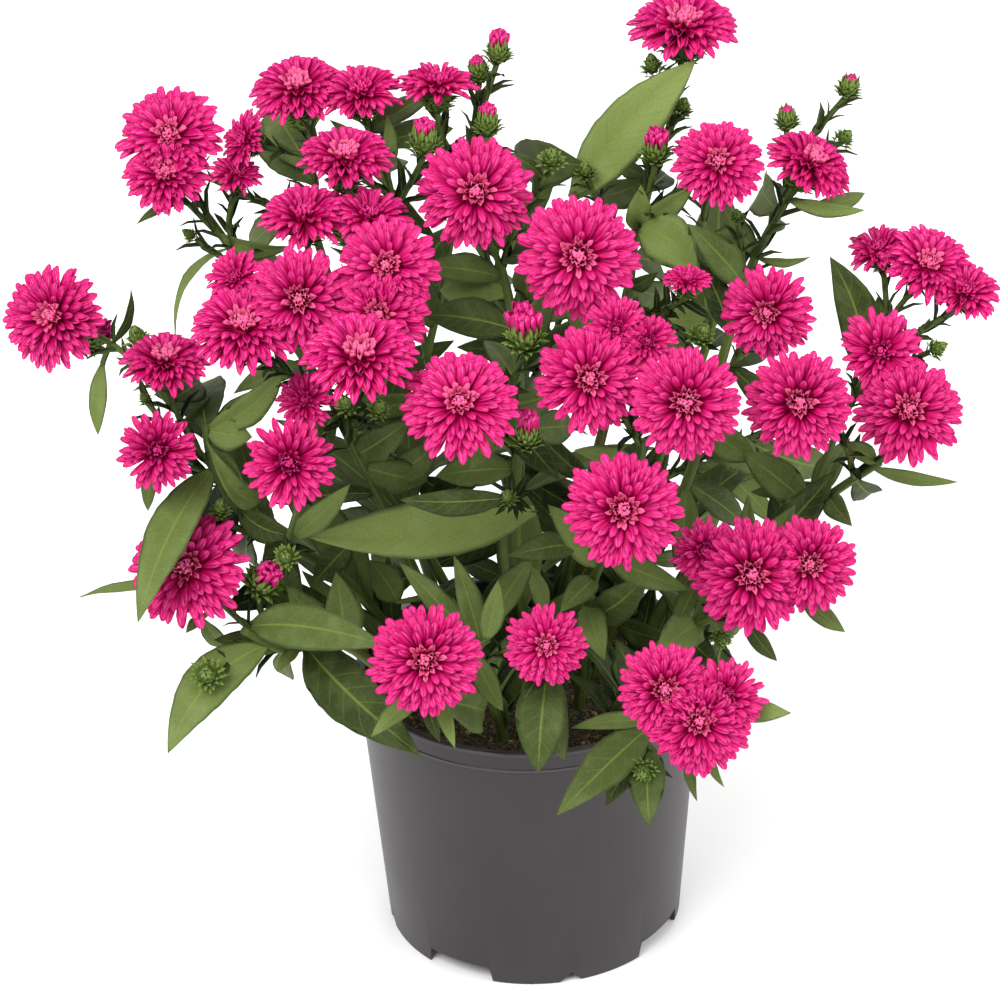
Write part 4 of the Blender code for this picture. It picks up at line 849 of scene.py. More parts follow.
def try_blade(plants, room, name, base, tip, toward, roll=0.0):
    """Adds a blade to a stem and says so, if there is room for it."""
    face = blade_face(base, tip, toward, roll)
    length = (tip - base).length
    # Leaves placed by rule take the darker tones, which paint shade on them.
    blade = Blade(base, tip, face, length * FILL_WIDTH_SHARE, length * FILL_ARCH_SHARE, 0.0, SHADED_FILL_TONES)
    if not room.takes(name, blade):
        return False
    plants[name].blades.append(blade)
    room.add(name, blade)
    return True


# Fine sizes that the solids leave out
PETAL_COUNTS = {3: 122, 2: 84}
PETAL_WIDTH_SHARES = (0.165, 0.125)
BLOOM_REACH_SHARE = 0.945
PETAL_RIM_SHARES = {3: (0.0, 0.13), 2: (0.08, 0.24)}
PETAL_DOME_SHARES = (0.38, 0.50)
PETAL_SPREADS = {3: 0.11, 2: 0.16}
QUILLS = 40
BRACT_LENGTH = 0.0052
BRACT_WIDTH = 0.0014
BRACTS_PER_CUP = 54
BRACTS_PER_BUD = 56
LEAFLET_EVERY = 0.0026
LEAFLET_LENGTH = (0.0065, 0.0140)
LEAFLET_WIDTH_SHARE = 0.25
LEAF_COLUMNS = {True: 8, False: 6}
LEAF_STATIONS = {True: 24, False: 11}
LEAF_MIDDLE_THICKNESS = 0.00055
LEAF_RIM_THICKNESS = 0.00016
LEAF_TEETH = 7
TUBE_SIDES = 8
TUBE_STEP = 0.0045
POT_FINE_STEPS = 144
CRUMBS_PER_SQUARE_METRE = 75000.0
CRUMB_SIZE = (0.0007, 0.0024)
CRUMB_KINDS = 3
QUILLS_PER_BRUSH = 34
LEAF_VEINS = 8.0
STEM_RIDGES = 5.0
BLOOM_HEART = ((0.05, 0.02), (0.30, 0.03), (0.40, 0.08), (0.36, 0.14), (0.24, 0.21), (0.08, 0.24))
BUD_CORE = ((0.14, -1.0), (0.46, -0.78), (0.66, -0.25), (0.64, 0.30), (0.44, 0.64), (0.12, 0.78))

# The lights, with their place, size and power, and the camera
LIGHTS = (
    ("key", (-0.7, -1.3, 1.9), 1.5, 46.0),
    ("fill", (1.4, -0.7, 1.0), 1.2, 15.0),
    ("back", (0.3, 1.4, 1.4), 1.0, 10.0),
)
LIGHTS_AIM = Vector((0.0, 0.0, 0.16))
WORLD_STRENGTH = 0.85
CAMERA_SENSOR = 36.0
PICTURE_WIDTH = 1000.0

# The thicket of leaves inside the plant, of which the solids have only the largest
BUSH_OUTLINE = (
    (222, 385), (250, 300), (262, 222), (330, 190), (385, 130), (440, 120), (500, 145), (560, 145),
    (620, 175), (700, 215), (765, 240), (800, 330), (852, 440), (828, 505), (745, 600), (705, 660),
    (640, 725), (575, 755), (400, 745), (318, 655), (232, 610), (212, 505),
)
THICKET_SEED = 23
THICKET_EVERY = 0.0056
THICKET_TRIES = 6
THICKET_LOW = 0.09
THICKET_LENGTH = (0.026, 0.052)
THICKET_GAP = 0.0019
THICKET_SHOWN_REACH = 9.0
THICKET_SEARCH = 0.045
THICKET_BUD_GAP = 0.007
MIDRIB_MARKS = (17, 27, 37)
COVER_ROWS = (110, 740, 13)
COVER_COLUMNS = (220, 860, 13)
COVER_SPOTS = (
    (275, 135), (290, 128), (385, 115), (410, 108), (262, 238), (400, 165), (415, 215), (335, 252),
    (645, 262), (655, 292), (628, 290), (715, 342), (725, 350), (555, 490), (540, 500), (565, 500),
    (750, 500), (480, 567), (462, 572), (490, 562), (400, 580), (380, 562), (590, 430), (610, 436),
    (622, 430), (665, 560), (205, 400), (190, 388), (205, 415), (280, 510), (300, 545), (430, 480),
    (635, 170), (655, 185), (770, 190), (772, 225), (740, 405), (250, 550), (215, 632), (288, 665),
    (722, 650), (690, 500), (765, 490), (705, 515), (862, 484), (550, 562), (700, 235),
)
COVER_FAR = (8.0, 90.0)
COVER_TRIES = 4
COVER_BASES = 40
COVER_STRETCH = (0.25, 0.8)
COVER_AHEAD = 30.0
COVER_ROLL = (-45, 45)
COVER_BEHIND = (-0.01, 0.07)
COVER_SEARCH = 130.0
COVER_HIDES = 3
POT_INSIDE = 0.0545
RIM_CLEAR_HEIGHT = 0.1030
RIM_CLEAR = 0.006

Skin = namedtuple("Skin", "points faces marks")
MARKS = ("along", "side", "tint", "under")


def inside(spot, outline):
    """Whether a spot of the picture lies inside an outline."""
    within = False
    for (x0, y0), (x1, y1) in zip(outline, outline[1:] + outline[:1]):
        if (y0 > spot.y) != (y1 > spot.y) and spot.x < x0 + (x1 - x0) * (spot.y - y0) / (y1 - y0):
            within = not within
    return within


class Thicket(Room):
    """Room for the finer leaves. They may stand closer and in the pot's mouth, but hide nothing shown."""

    berth = Berth(0.002, 0.6, 0.45, 0.55, 0.85, 0.95, math.inf)

    def __init__(self, plants, heads):
        super().__init__(plants, heads)
        self.shown, self.shown_away = self.spots, self.away
        self.stems = np.concatenate([tube for tube in self.tubes.values() if len(tube)])
        self.gap = THICKET_GAP
        self.covering = False

    def takes(self, name, blade):
        marks = blade_marks(blade)
        spots, away = picture_places(marks)
        within = all(inside(Vector(spots[number]), BUSH_OUTLINE) for number in MIDRIB_MARKS)
        if not within and not self.covering:
            return False
        from_axis = np.hypot(marks[:, 0] - POT_AXIS.x, marks[:, 1] - POT_AXIS.y)
        if (marks[:, 2] < np.where(from_axis < POT_INSIDE, SOIL_CLEAR_HEIGHT, RIM_CLEAR_HEIGHT)).any():
            return False
        by_rim = (abs(from_axis - RIM_RADIUS) < RIM_CLEAR).any()
        if by_rim and marks[:, 2].min() < RIM_CLEAR_HEIGHT - 0.002:
            return False
        free = marks[BLADE_ROOT_MARKS:]
        close = self.leaves[np.abs(self.leaves - free.mean(axis=0)).max(axis=1) < THICKET_SEARCH]
        if nearest_gap(free, close) < self.gap or nearest_gap(free, self.stems) < self.gap:
            return False
        if nearest_gap(free, self.buds) < THICKET_BUD_GAP or self.in_blooms(marks):
            return False
        close = np.abs(self.shown - spots.mean(axis=0)).max(axis=1) < COVER_SEARCH
        near = np.abs(self.shown[close][None] - spots[:, None]).max(axis=2) < THICKET_SHOWN_REACH
        hidden = (near & (self.shown_away[close][None] > away[:, None] + 0.001)).any(axis=1).sum()
        return hidden <= (COVER_HIDES if self.covering else 0)


def grow_thicket(plants, heads):
    """Leaves all the way up every stem and branch, a golden turn apart, where there is room."""
    draw = random.Random(THICKET_SEED)
    room = Thicket(plants, heads)
    number = 0
    for name, plant in plants.items():
        for tube in [tube for tube in plant.tubes if tube.kind == "stem"]:
            for place, way in spaced(tube.points, THICKET_EVERY):
                if place.z < SOIL_CLEAR_HEIGHT:
                    continue
                for _ in range(THICKET_TRIES):
                    number += 1
                    turn = number * GOLDEN_TURN + draw.uniform(-0.3, 0.3)
                    low = max(0.0, 1.0 - (place.z - SOIL_CLEAR_HEIGHT) / THICKET_LOW)
                    rise = draw.uniform(0.1, 0.8) + 1.2 * low
                    tip = place + outward(turn, rise).normalized() * draw.uniform(*THICKET_LENGTH)
                    if try_blade(plants, room, name, place, tip, Vector((0, -0.3, 1)), draw.uniform(-20, 20)):
                        break
    for down in range(*COVER_ROWS):
        for right in range(*COVER_COLUMNS):
            spot = Vector((right + draw.uniform(-3, 3), down + draw.uniform(-3, 3)))
            if inside(spot, BUSH_OUTLINE):
                fill_spot(plants, room, spot, draw)
    room.gap = THICKET_GAP / 4
    room.covering = True
    for right, down in COVER_SPOTS:
        cover_spot(plants, room, Vector((right, down)), draw)


def cover_spot(plants, room, spot, draw):
    """One leaf across this spot of the picture, from any stem near it and at any depth with room for it."""
    bases = [base for base in marks_near(plants, spot) if COVER_FAR[0] < base[0] < COVER_FAR[1]]
    for far, _, name, base in bases[:: 1 + len(bases) // COVER_BASES]:
        for _ in range(COVER_TRIES):
            ahead = spot + (spot - spot_of(base)) * draw.uniform(*COVER_STRETCH) * max(1.0, COVER_AHEAD / far)
            tip = seen_at(ahead, base.y - POT_AXIS.y + draw.uniform(*COVER_BEHIND))
            if THICKET_LENGTH[0] * 0.8 < (tip - base).length < THICKET_LENGTH[1] * 1.2:
                if try_blade(plants, room, name, base, tip, VIEW_POINT - base, draw.uniform(*COVER_ROLL)):
                    return


class Socket:
    """A socket of a node tree. Arithmetic on it adds Math nodes."""

    def __init__(self, tree, socket):
        self.tree = tree
        self.socket = socket

    def math(self, operation, *others, first=None):
        values = {0: self if first is None else first}
        values.update({number + 1: other for number, other in enumerate(others)})
        return self.tree.add("ShaderNodeMath", {"operation": operation}, values)

    def __add__(self, other):
        return self.math("ADD", other)

    def __sub__(self, other):
        return self.math("SUBTRACT", other)

    def __rsub__(self, other):
        return self.math("SUBTRACT", self, first=other)

    def __mul__(self, other):
        return self.math("MULTIPLY", other)

    def __truediv__(self, other):
        return self.math("DIVIDE", other)

    def __pow__(self, other):
        return self.math("POWER", other)

    __radd__ = __add__
    __rmul__ = __mul__


class Tree:
    """A node tree that is being written."""

    def __init__(self, nodes):
        self.nodes = nodes

    def add(self, kind, settings=None, values=None, out=0):
        """Adds a node. Settings come first, such as an operation or a ramp's stops, then its sockets."""
        node = self.nodes.nodes.new(kind)
        for name, value in (settings or {}).items():
            if name == "stops":
                for stop in list(node.color_ramp.elements)[1:]:
                    node.color_ramp.elements.remove(stop)
                for number, (place, colour) in enumerate(value):
                    ramp = node.color_ramp.elements
                    stop = ramp[0] if number == 0 else ramp.new(place)
                    stop.position = place
                    stop.color = (*colour, 1.0)
            else:
                setattr(node, name, value)
        for name, value in (values or {}).items():
            self.feed(self.socket_of(node.inputs, name), value)
        return Socket(self, self.socket_of(node.outputs, out))

    def socket_of(self, sockets, name):
        if isinstance(name, int):
            return sockets[name]
        return next(socket for socket in sockets if socket.enabled and socket.name == name)

    def feed(self, socket, value):
        if isinstance(value, Socket):
            self.nodes.links.new(value.socket, socket)
        else:
            socket.default_value = value

    def mark(self, name):
        """One of a piece's own numbers, as a material reads it."""
        return self.add("ShaderNodeAttribute", {"attribute_name": name}, out="Fac")

    def mix(self, share, one, other):
        """A colour between two."""
        values = {"Factor": share, "A": one, "B": other}
        return self.add("ShaderNodeMix", {"data_type": "RGBA"}, values, out="Result")

    def noise(self, scale, detail, place=None):
        place = place or self.add("ShaderNodeTexCoord", out="Object")
        values = {"Vector": place, "Scale": scale, "Detail": detail}
        return self.add("ShaderNodeTexNoise", None, values, out="Fac")

    def bump(self, height, strength, distance):
        values = {"Height": height, "Strength": strength, "Distance": distance}
        return self.add("ShaderNodeBump", None, values, out="Normal")

    def clamp(self, value, low, high):
        """How far a value is on its way from low to high, from 0 to 1."""
        values = {"Value": value, "From Min": low, "From Max": high}
        return self.add("ShaderNodeMapRange", {"interpolation_type": "SMOOTHSTEP"}, values, out="Result")


def finish_of(name, paint, **constants):
    """A material whose Principled shader takes its constants directly and the rest from paint(tree)."""
    made = bpy.data.materials.new(name)
    made.use_nodes = True
    shader = made.node_tree.nodes["Principled BSDF"]
    for key, value in constants.items():
        shader.inputs[key.replace("_", " ")].default_value = value
    tree = Tree(made.node_tree)
    for key, value in paint(tree).items():
        tree.feed(shader.inputs[key], value)
    return made


def rgb(red, green, blue):
    """A colour as a screen shows it, from 0 to 255, in the renderer's own numbers."""
    parts = (value / 255 for value in (red, green, blue))
    return tuple(part / 12.92 if part <= 0.04045 else ((part + 0.055) / 1.055) ** 2.4 for part in parts)


def rgba(red, green, blue):
    return (*rgb(red, green, blue), 1.0)


PETAL_COLOURS = (
    (0.0, (140, 0, 54)),
    (0.30, (188, 0, 86)),
    (0.58, (218, 0, 114)),
    (0.84, (232, 10, 132)),
    (1.0, (244, 46, 152)),
)


def petal_paint(tree):
    """Deep at the root and brighter to the tip, with fine streaks, a painted highlight down the middle and
    painted shade at the edges.
    """
    along, side, tint = tree.mark("along"), tree.mark("side"), tree.mark("tint")
    place = tree.add("ShaderNodeCombineXYZ", None, {0: side * 3.2, 1: along * 0.9, 2: tint * 41.0})
    streak = tree.noise(2.1, 2.0, place)
    stops = [(stop, rgb(*colour)) for stop, colour in PETAL_COLOURS]
    depth = tree.add("ShaderNodeValToRGB", {"stops": stops}, {"Fac": along}, out="Color")
    across = side.math("ABSOLUTE")
    face = tree.clamp(across, 0.95, 0.35)
    # Painted highlight: pale pink down the middle of each petal, broken into streaks and stronger on some
    # petals.
    light = tree.clamp(streak, 0.44, 0.68) * 0.62 + tree.clamp(tint, 0.25, 1.0) * 0.42
    colour = tree.mix(light * face * tree.clamp(along, 0.20, 0.80), depth, rgba(255, 176, 226))
    # Painted shade along each petal's edges.
    colour = tree.mix(tree.clamp(across, 0.66, 1.0) * 0.42, colour, rgba(190, 0, 92))
    colour = tree.mix(tree.clamp(tint, 0.45, 0.0) * 0.45, colour, rgba(194, 0, 96))
    ridges = tree.bump(tree.noise(6.0, 1.0, place), 0.35, 0.0004)
    return {"Base Color": colour, "Roughness": 0.52 - streak * 0.14, "Normal": ridges}


def quill_paint(tree):
    """The short quills at a bloom's heart: pink below, with cream and straw ends."""
    along, tint = tree.mark("along"), tree.mark("tint")
    end = tree.mix(tree.clamp(tint, 0.0, 0.6), rgba(238, 104, 154), rgba(255, 190, 208))
    end = tree.mix(tree.clamp(tint, 0.68, 0.76), end, rgba(214, 170, 96))
    return {"Base Color": tree.mix(tree.clamp(along, 0.25, 0.85), rgba(196, 8, 84), end)}


def leaf_paint(tree):
    """Downy green, paler along the midrib, the side veins, the rim and the whole underside."""
    along, side, tint, under = (tree.mark(name) for name in MARKS)
    across = side.math("ABSOLUTE")
    fine = tree.noise(2200.0, 2.0)
    patch = tree.noise(120.0, 3.0)
    # Each leaf's tint runs from dark to light green. The leaves placed by rule get only the darker tints, as
    # painted shade.
    upper = tree.mix(tint, rgba(13, 25, 0), rgba(108, 125, 60))
    upper = tree.mix(tree.clamp(patch, 0.40, 0.75) * (tint * 0.4 + 0.1), upper, rgba(118, 134, 78))
    lower = tree.mix(tint * 0.6, rgba(66, 82, 40), rgba(92, 108, 66))
    vein = (along * LEAF_VEINS - across * 1.5).math("FRACT")
    vein = (vein - 0.5).math("ABSOLUTE")
    vein = tree.clamp(vein, 0.07, 0.0) * tree.clamp(across, 0.98, 0.55) * 0.38
    rib = tree.clamp(across, 0.075, 0.02) * 0.80
    rim = tree.clamp(across, 0.93, 1.0) * 0.40
    colour = tree.mix(under, upper, lower)
    colour = tree.mix(vein, colour, rgba(92, 112, 44))
    colour = tree.mix(rim, colour, rgba(102, 118, 70))
    colour = tree.mix(rib * (1.0 - along * 0.5), colour, rgba(112, 130, 48))
    colour = tree.mix(tree.clamp(fine, 0.38, 0.80) * (tint * 0.26 + 0.04), colour, rgba(146, 158, 120))
    relief = tree.bump(fine * 0.5 + vein * -0.7, 0.30, 0.0003)
    return {"Base Color": colour, "Roughness": 0.66 - patch * 0.12, "Normal": relief}


def stem_paint(tree):
    """Green with lengthwise ridges, flushed with red in places."""
    along, side, tint = tree.mark("along"), tree.mark("side"), tree.mark("tint")
    ridge = (side * 6.2832 * STEM_RIDGES).math("SINE")
    patch = tree.noise(60.0, 3.0)
    colour = tree.mix(tint, rgba(50, 66, 20), rgba(74, 90, 34))
    colour = tree.mix(tree.clamp(ridge, 0.2, 1.0) * 0.30, colour, rgba(100, 116, 54))
    flush = tree.clamp(patch, 0.56, 0.74) * tree.clamp(along, 0.9, 0.2) * 0.55
    colour = tree.mix(flush, colour, rgba(104, 66, 48))
    return {"Base Color": colour, "Roughness": 0.62, "Normal": tree.bump(ridge, 0.25, 0.0002)}


def bract_paint(tree):
    """The small leaves that wrap a cup or bud: dark at the root, fresh green at the tip."""
    along, side, tint = tree.mark("along"), tree.mark("side"), tree.mark("tint")
    tip = tree.mix(tint, rgba(104, 126, 56), rgba(158, 174, 104))
    colour = tree.mix(tree.clamp(along, 0.0, 0.7), rgba(62, 82, 26), tip)
    keel = tree.clamp(side.math("ABSOLUTE"), 0.35, 0.0) * 0.25
    return {"Base Color": tree.mix(keel, colour, rgba(146, 164, 88)), "Roughness": 0.60 + tint * 0.08}


def pot_paint(tree):
    """Dark grey moulded plastic with a faint grain, dulled towards the foot, with painted highlights along
    both edges of the rim band.
    """
    place = tree.add("ShaderNodeTexCoord", out="Object")
    height = tree.add("ShaderNodeSeparateXYZ", None, {"Vector": place}, out="Z")
    grain = tree.noise(2600.0, 2.0)
    cloud = tree.noise(26.0, 4.0)
    colour = tree.mix(tree.clamp(cloud, 0.35, 0.70), rgba(37, 31, 33), rgba(42, 36, 38))
    # Paler and rougher towards the foot.
    near_foot = tree.clamp(height, 0.012, 0.0) * 0.20
    colour = tree.mix(near_foot, colour, rgba(56, 52, 50))
    # Painted highlights: thin pale lines along the top and the lower edge of the rim band.
    rim_highlight = 0.0
    for line in (POT_HEIGHT - 0.0004, POT_HEIGHT - RIM_BAND + 0.0005):
        rim_highlight = tree.clamp((height - line).math("ABSOLUTE"), 0.0006, 0.0001) + rim_highlight
    colour = tree.mix(rim_highlight * 0.4, colour, rgba(90, 86, 90))
    gloss = 0.36 + cloud * 0.08 + near_foot * 0.2
    return {"Base Color": colour, "Roughness": gloss, "Normal": tree.bump(grain, 0.10, 0.0001)}


def soil_paint(tree):
    """Brown-black peat with scattered straw and olive bits."""
    tint = tree.mark("tint")
    coarse = tree.noise(560.0, 4.0)
    fine = tree.noise(1300.0, 3.0)
    colour = tree.mix(tree.clamp(coarse, 0.42, 0.64), rgba(9, 6, 3), rgba(66, 50, 24))
    colour = tree.mix(tree.clamp(fine, 0.56, 0.66), colour, rgba(118, 100, 46))
    colour = tree.mix(tree.clamp(tint, 0.58, 0.76), colour, rgba(88, 72, 32))
    colour = tree.mix(tree.clamp(tint, 0.86, 0.93), colour, rgba(128, 120, 58))
    relief = tree.bump(fine + coarse, 0.6, 0.0008)
    return {"Base Color": colour, "Roughness": 0.92 - fine * 0.08, "Normal": relief}


def floor_paint(tree):
    cloud = tree.noise(3.0, 2.0)
    return {"Base Color": tree.mix(cloud, rgba(246, 246, 246), rgba(250, 250, 250))}


def level_ring(radius, height, sides):
    """Points round the Z axis."""
    turn = np.arange(sides) * math.tau / sides
    return np.stack([np.cos(turn) * radius, np.sin(turn) * radius, np.full(sides, height)], 1)


def lofted(rings, marks):
    """A closed skin over rings of equally many points, with a fan at each end."""
    rings = np.asarray(rings, float)
    marks = np.asarray(marks, float)
    count, around = rings.shape[:2]
    points = np.concatenate([rings.reshape(-1, 3), rings[[0, -1]].mean(axis=1)])
    marks = np.concatenate([marks.reshape(-1, 4), marks[[0, -1]].mean(axis=1)])
    start = np.arange((count - 1) * around)
    ring, column = np.divmod(start, around)
    after = ring * around + (column + 1) % around
    rim = np.arange(around)
    beside = (rim + 1) % around
    last = (count - 1) * around
    corners = (
        (start, after, after + around),
        (start, after + around, start + around),
        (beside, rim, np.full(around, count * around)),
        (last + rim, last + beside, np.full(around, count * around + 1)),
    )
    faces = np.concatenate([np.stack(three, 1) for three in corners])
    corners = points[faces] - points.mean(axis=0)
    if np.linalg.det(corners).sum() < 0:
        faces = faces[:, ::-1]
    return Skin(points, faces, marks)


def stand(name, data):
    """A new object in the scene."""
    made = bpy.data.objects.new(name, data)
    bpy.context.scene.collection.objects.link(made)
    return made


def mesh_of(name, skin):
    """A new mesh of a bmesh, which isn't needed after it."""
    mesh = bpy.data.meshes.new(name)
    skin.to_mesh(mesh)
    skin.free()
    return mesh


class Piece:
    """One finished piece in the making: skins, each with its finish."""

    def __init__(self):
        self.skins = []
        self.looks = []

    def add(self, skin, look):
        self.skins.append(skin)
        self.looks.append(look)

    def make(self, name):
        """The piece as an object at the origin, smooth, with its marks as attributes."""
        looks = list(dict.fromkeys(self.looks))
        starts = np.cumsum([0] + [len(skin.points) for skin in self.skins[:-1]])
        points = np.concatenate([skin.points for skin in self.skins])
        faces = np.concatenate([skin.faces + start for skin, start in zip(self.skins, starts)])
        marks = np.concatenate([skin.marks for skin in self.skins])
        slots = np.concatenate(
            [np.full(len(skin.faces), looks.index(look)) for skin, look in zip(self.skins, self.looks)]
        )
        mesh = bpy.data.meshes.new(name)
        mesh.vertices.add(len(points))
        mesh.vertices.foreach_set("co", points.astype(np.float32).ravel())
        mesh.loops.add(len(faces) * 3)
        mesh.loops.foreach_set("vertex_index", faces.astype(np.int32).ravel())
        mesh.polygons.add(len(faces))
        mesh.polygons.foreach_set("loop_start", np.arange(0, len(faces) * 3, 3, dtype=np.int32))
        mesh.polygons.foreach_set("material_index", slots.astype(np.int32))
        for look in looks:
            mesh.materials.append(look)
        for number, mark in enumerate(MARKS):
            held = mesh.attributes.new(mark, "FLOAT", "POINT")
            held.data.foreach_set("value", marks[:, number].astype(np.float32))
        mesh.update(calc_edges=True)
        mesh.shade_smooth()
        return stand(name, mesh)


def skin_of(mesh, place=None):
    """A plain mesh's points, triangles and marks."""
    mesh.calc_loop_triangles()
    points = np.empty(len(mesh.vertices) * 3, np.float32)
    mesh.vertices.foreach_get("co", points)
    points = points.reshape(-1, 3).astype(float)
    if place is not None:
        place = np.array(place)
        points = points @ place[:3, :3].T + place[:3, 3]
    faces = np.empty(len(mesh.loop_triangles) * 3, np.int32)
    mesh.loop_triangles.foreach_get("vertices", faces)
    marks = np.zeros((len(points), 4))
    for number, mark in enumerate(MARKS):
        held = mesh.attributes.get(mark)
        if held:
            values = np.empty(len(points), np.float32)
            held.data.foreach_get("value", values)
            marks[:, number] = values
    return Skin(points, faces.reshape(-1, 3), marks)


PETAL_SECTION = ((-1, 0), (-0.55, 0), (0, 0), (0.55, 0), (1, 0), (0, 1))
BRACT_SECTION = ((-1, 0), (0, 0), (1, 0), (0, 1))


def strip(section, stations, halves, heights, trough, thickness, groove=0.0):
    """A thin blade along +X, one long and one wide, from its half widths and heights at each station.

    Its section is points with how far each is to a side, and whether it is on the underside.
    """
    rings, marks = [], []
    for along, half, height in zip(stations, halves, heights):
        ring, mark = [], []
        for side, below in section:
            sunk = groove * half * (side == 0) * (1 - below * 0.5)
            ring.append((along, side * half, height + trough * side * side * half - below * thickness - sunk))
            mark.append((along, side, 0.0, below))
        rings.append(ring)
        marks.append(mark)
    return lofted(rings, marks)


def petal_kinds(store):
    """Three petals to grow blooms from, the outermost kind first: reflexed, arched and hooded."""
    stations = (0.0, 0.32, 0.60, 0.80, 0.94, 1.0)
    halves = (0.16, 0.34, 0.48, 0.50, 0.36, 0.13)
    shapes = {
        "petal a": ((0.0, 0.08, 0.11, 0.08, 0.03, 0.0), 0.10),
        "petal b": ((0.0, 0.09, 0.13, 0.12, 0.08, 0.05), 0.18),
        "petal c": ((0.0, 0.05, 0.09, 0.11, 0.12, 0.12), 0.26),
    }
    for name, (heights, trough) in shapes.items():
        add_kind(store, name, strip(PETAL_SECTION, stations, halves, heights, trough, 0.016, 0.16))


def quill_kinds(store):
    """The narrow rolled petal that stands in a bloom's heart."""
    stations = (0.0, 0.50, 0.85, 1.0)
    quill = strip(BRACT_SECTION, stations, (0.22, 0.40, 0.50, 0.20), (0.0, 0.0, 0.06, 0.13), 0.5, 0.05)
    add_kind(store, "quill", quill)


def leaflet_kinds(store):
    """A narrow little leaf, a quarter as wide as it is long."""
    stations = (0.0, 0.30, 0.70, 1.0)
    halves = [share * LEAFLET_WIDTH_SHARE for share in (0.24, 0.48, 0.40, 0.03)]
    add_kind(store, "leaflet", strip(BRACT_SECTION, stations, halves, (0.0, 0.04, 0.05, -0.03), 0.5, 0.025))


def bract_kinds(store):
    """Two little pointed leaves to wrap cups and buds with: one straight and one curling out."""
    stations = (0.0, 0.35, 0.75, 1.0)
    halves = (0.40, 0.50, 0.28, 0.03)
    for name, heights in (("bract a", (0.0, 0.04, 0.0, -0.12)), ("bract b", (0.0, 0.04, 0.07, 0.09))):
        add_kind(store, name, strip(BRACT_SECTION, stations, halves, heights, 0.10, 0.08))


def add_kind(store, name, skin):
    piece = Piece()
    piece.add(skin, None)
    kind = piece.make(name)
    kind.data.materials.clear()
    bpy.context.scene.collection.objects.unlink(kind)
    store.objects.link(kind)


def new_tree(name, inputs):
    """A geometry tree with these inputs. It returns the tree and its inputs by name."""
    nodes = bpy.data.node_groups.new(name, "GeometryNodeTree")
    for label, kind in inputs.items():
        nodes.interface.new_socket(label, in_out="INPUT", socket_type="NodeSocket" + kind)
    nodes.interface.new_socket("Geometry", in_out="OUTPUT", socket_type="NodeSocketGeometry")
    entry = nodes.nodes.new("NodeGroupInput")
    tree = Tree(nodes)
    return tree, {label: Socket(tree, entry.outputs[label]) for label in inputs}


def random_number(tree, low, high, seed, number):
    """A number between two, for each copy."""
    values = {"Min": low, "Max": high, "ID": number, "Seed": seed}
    return tree.add("FunctionNodeRandomValue", {"data_type": "FLOAT"}, values, out="Value")


def close_tree(tree, given, points, pick, turn, size, palest):
    """Ends a tree in copies of its members on points: real geometry, each with its tint and the finish."""
    members = {"Collection": given["Members"], "Separate Children": True, "Reset Children": True}
    values = {
        "Points": points,
        "Instance": tree.add("GeometryNodeCollectionInfo", {"transform_space": "ORIGINAL"}, members),
        "Pick Instance": True,
        "Instance Index": pick,
        "Rotation": turn,
        "Scale": size,
    }
    copies = tree.add("GeometryNodeInstanceOnPoints", None, values)
    number = tree.add("GeometryNodeInputIndex")
    tint = random_number(tree, palest, 1.0, given["Seed"] + 9, number)
    settings = {"data_type": "FLOAT", "domain": "INSTANCE"}
    values = {"Geometry": copies, "Name": "tint", "Value": tint}
    copies = tree.add("GeometryNodeStoreNamedAttribute", settings, values)
    real = tree.add("GeometryNodeRealizeInstances", None, {"Geometry": copies})
    painted = tree.add("GeometryNodeSetMaterial", None, {"Geometry": real, "Material": given["Finish"]})
    end = tree.nodes.nodes.new("NodeGroupOutput")
    tree.nodes.links.new(painted.socket, end.inputs["Geometry"])
    return tree.nodes


LEAFLET_INPUTS = {
    "Line": "Geometry",
    "Finish": "Material",
    "Members": "Collection",
    "Every": "Float",
    "Shortest": "Float",
    "Longest": "Float",
    "Seed": "Int",
}


def leaflet_tree():
    """Little leaves all along lines, each a golden turn on from the last."""
    tree, given = new_tree("leaflets along a stalk", LEAFLET_INPUTS)
    seed = given["Seed"]
    curve = tree.add("GeometryNodeMeshToCurve", None, {"Mesh": given["Line"]})
    points = tree.nodes.nodes.new("GeometryNodeCurveToPoints")
    points.mode = "LENGTH"
    tree.feed(points.inputs["Curve"], curve)
    tree.feed(points.inputs["Length"], given["Every"])
    tangent = Socket(tree, points.outputs["Tangent"])
    number = tree.add("GeometryNodeInputIndex")
    upright = tree.add("FunctionNodeAlignRotationToVector", {"axis": "Z"}, {"Vector": tangent})
    turn = number * GOLDEN_TURN + random_number(tree, -0.5, 0.5, seed + 1, number)
    tilt = random_number(tree, -1.25, -0.45, seed + 2, number)
    lean = tree.add("ShaderNodeCombineXYZ", None, {1: tilt, 2: turn})
    facing = tree.add("FunctionNodeRotateRotation", {"rotation_space": "LOCAL"}, {0: upright, 1: lean})
    length = random_number(tree, given["Shortest"], given["Longest"], seed + 3, number)
    return close_tree(tree, given, Socket(tree, points.outputs["Points"]), 0, facing, length, 0.3)


WHORL_SIZES = ("Root Radius", "Root Height", "Tip Radius", "Tip Height", "Width")
WHORL_INPUTS = {
    "Finish": "Material",
    "Members": "Collection",
    "Kinds": "Int",
    "Count": "Int",
    "Seed": "Int",
    **{f"{size} {end}": "Float" for size in WHORL_SIZES for end in ("From", "To")},
    "Crowding": "Float",
    "Doming": "Float",
    "Spread": "Float",
}


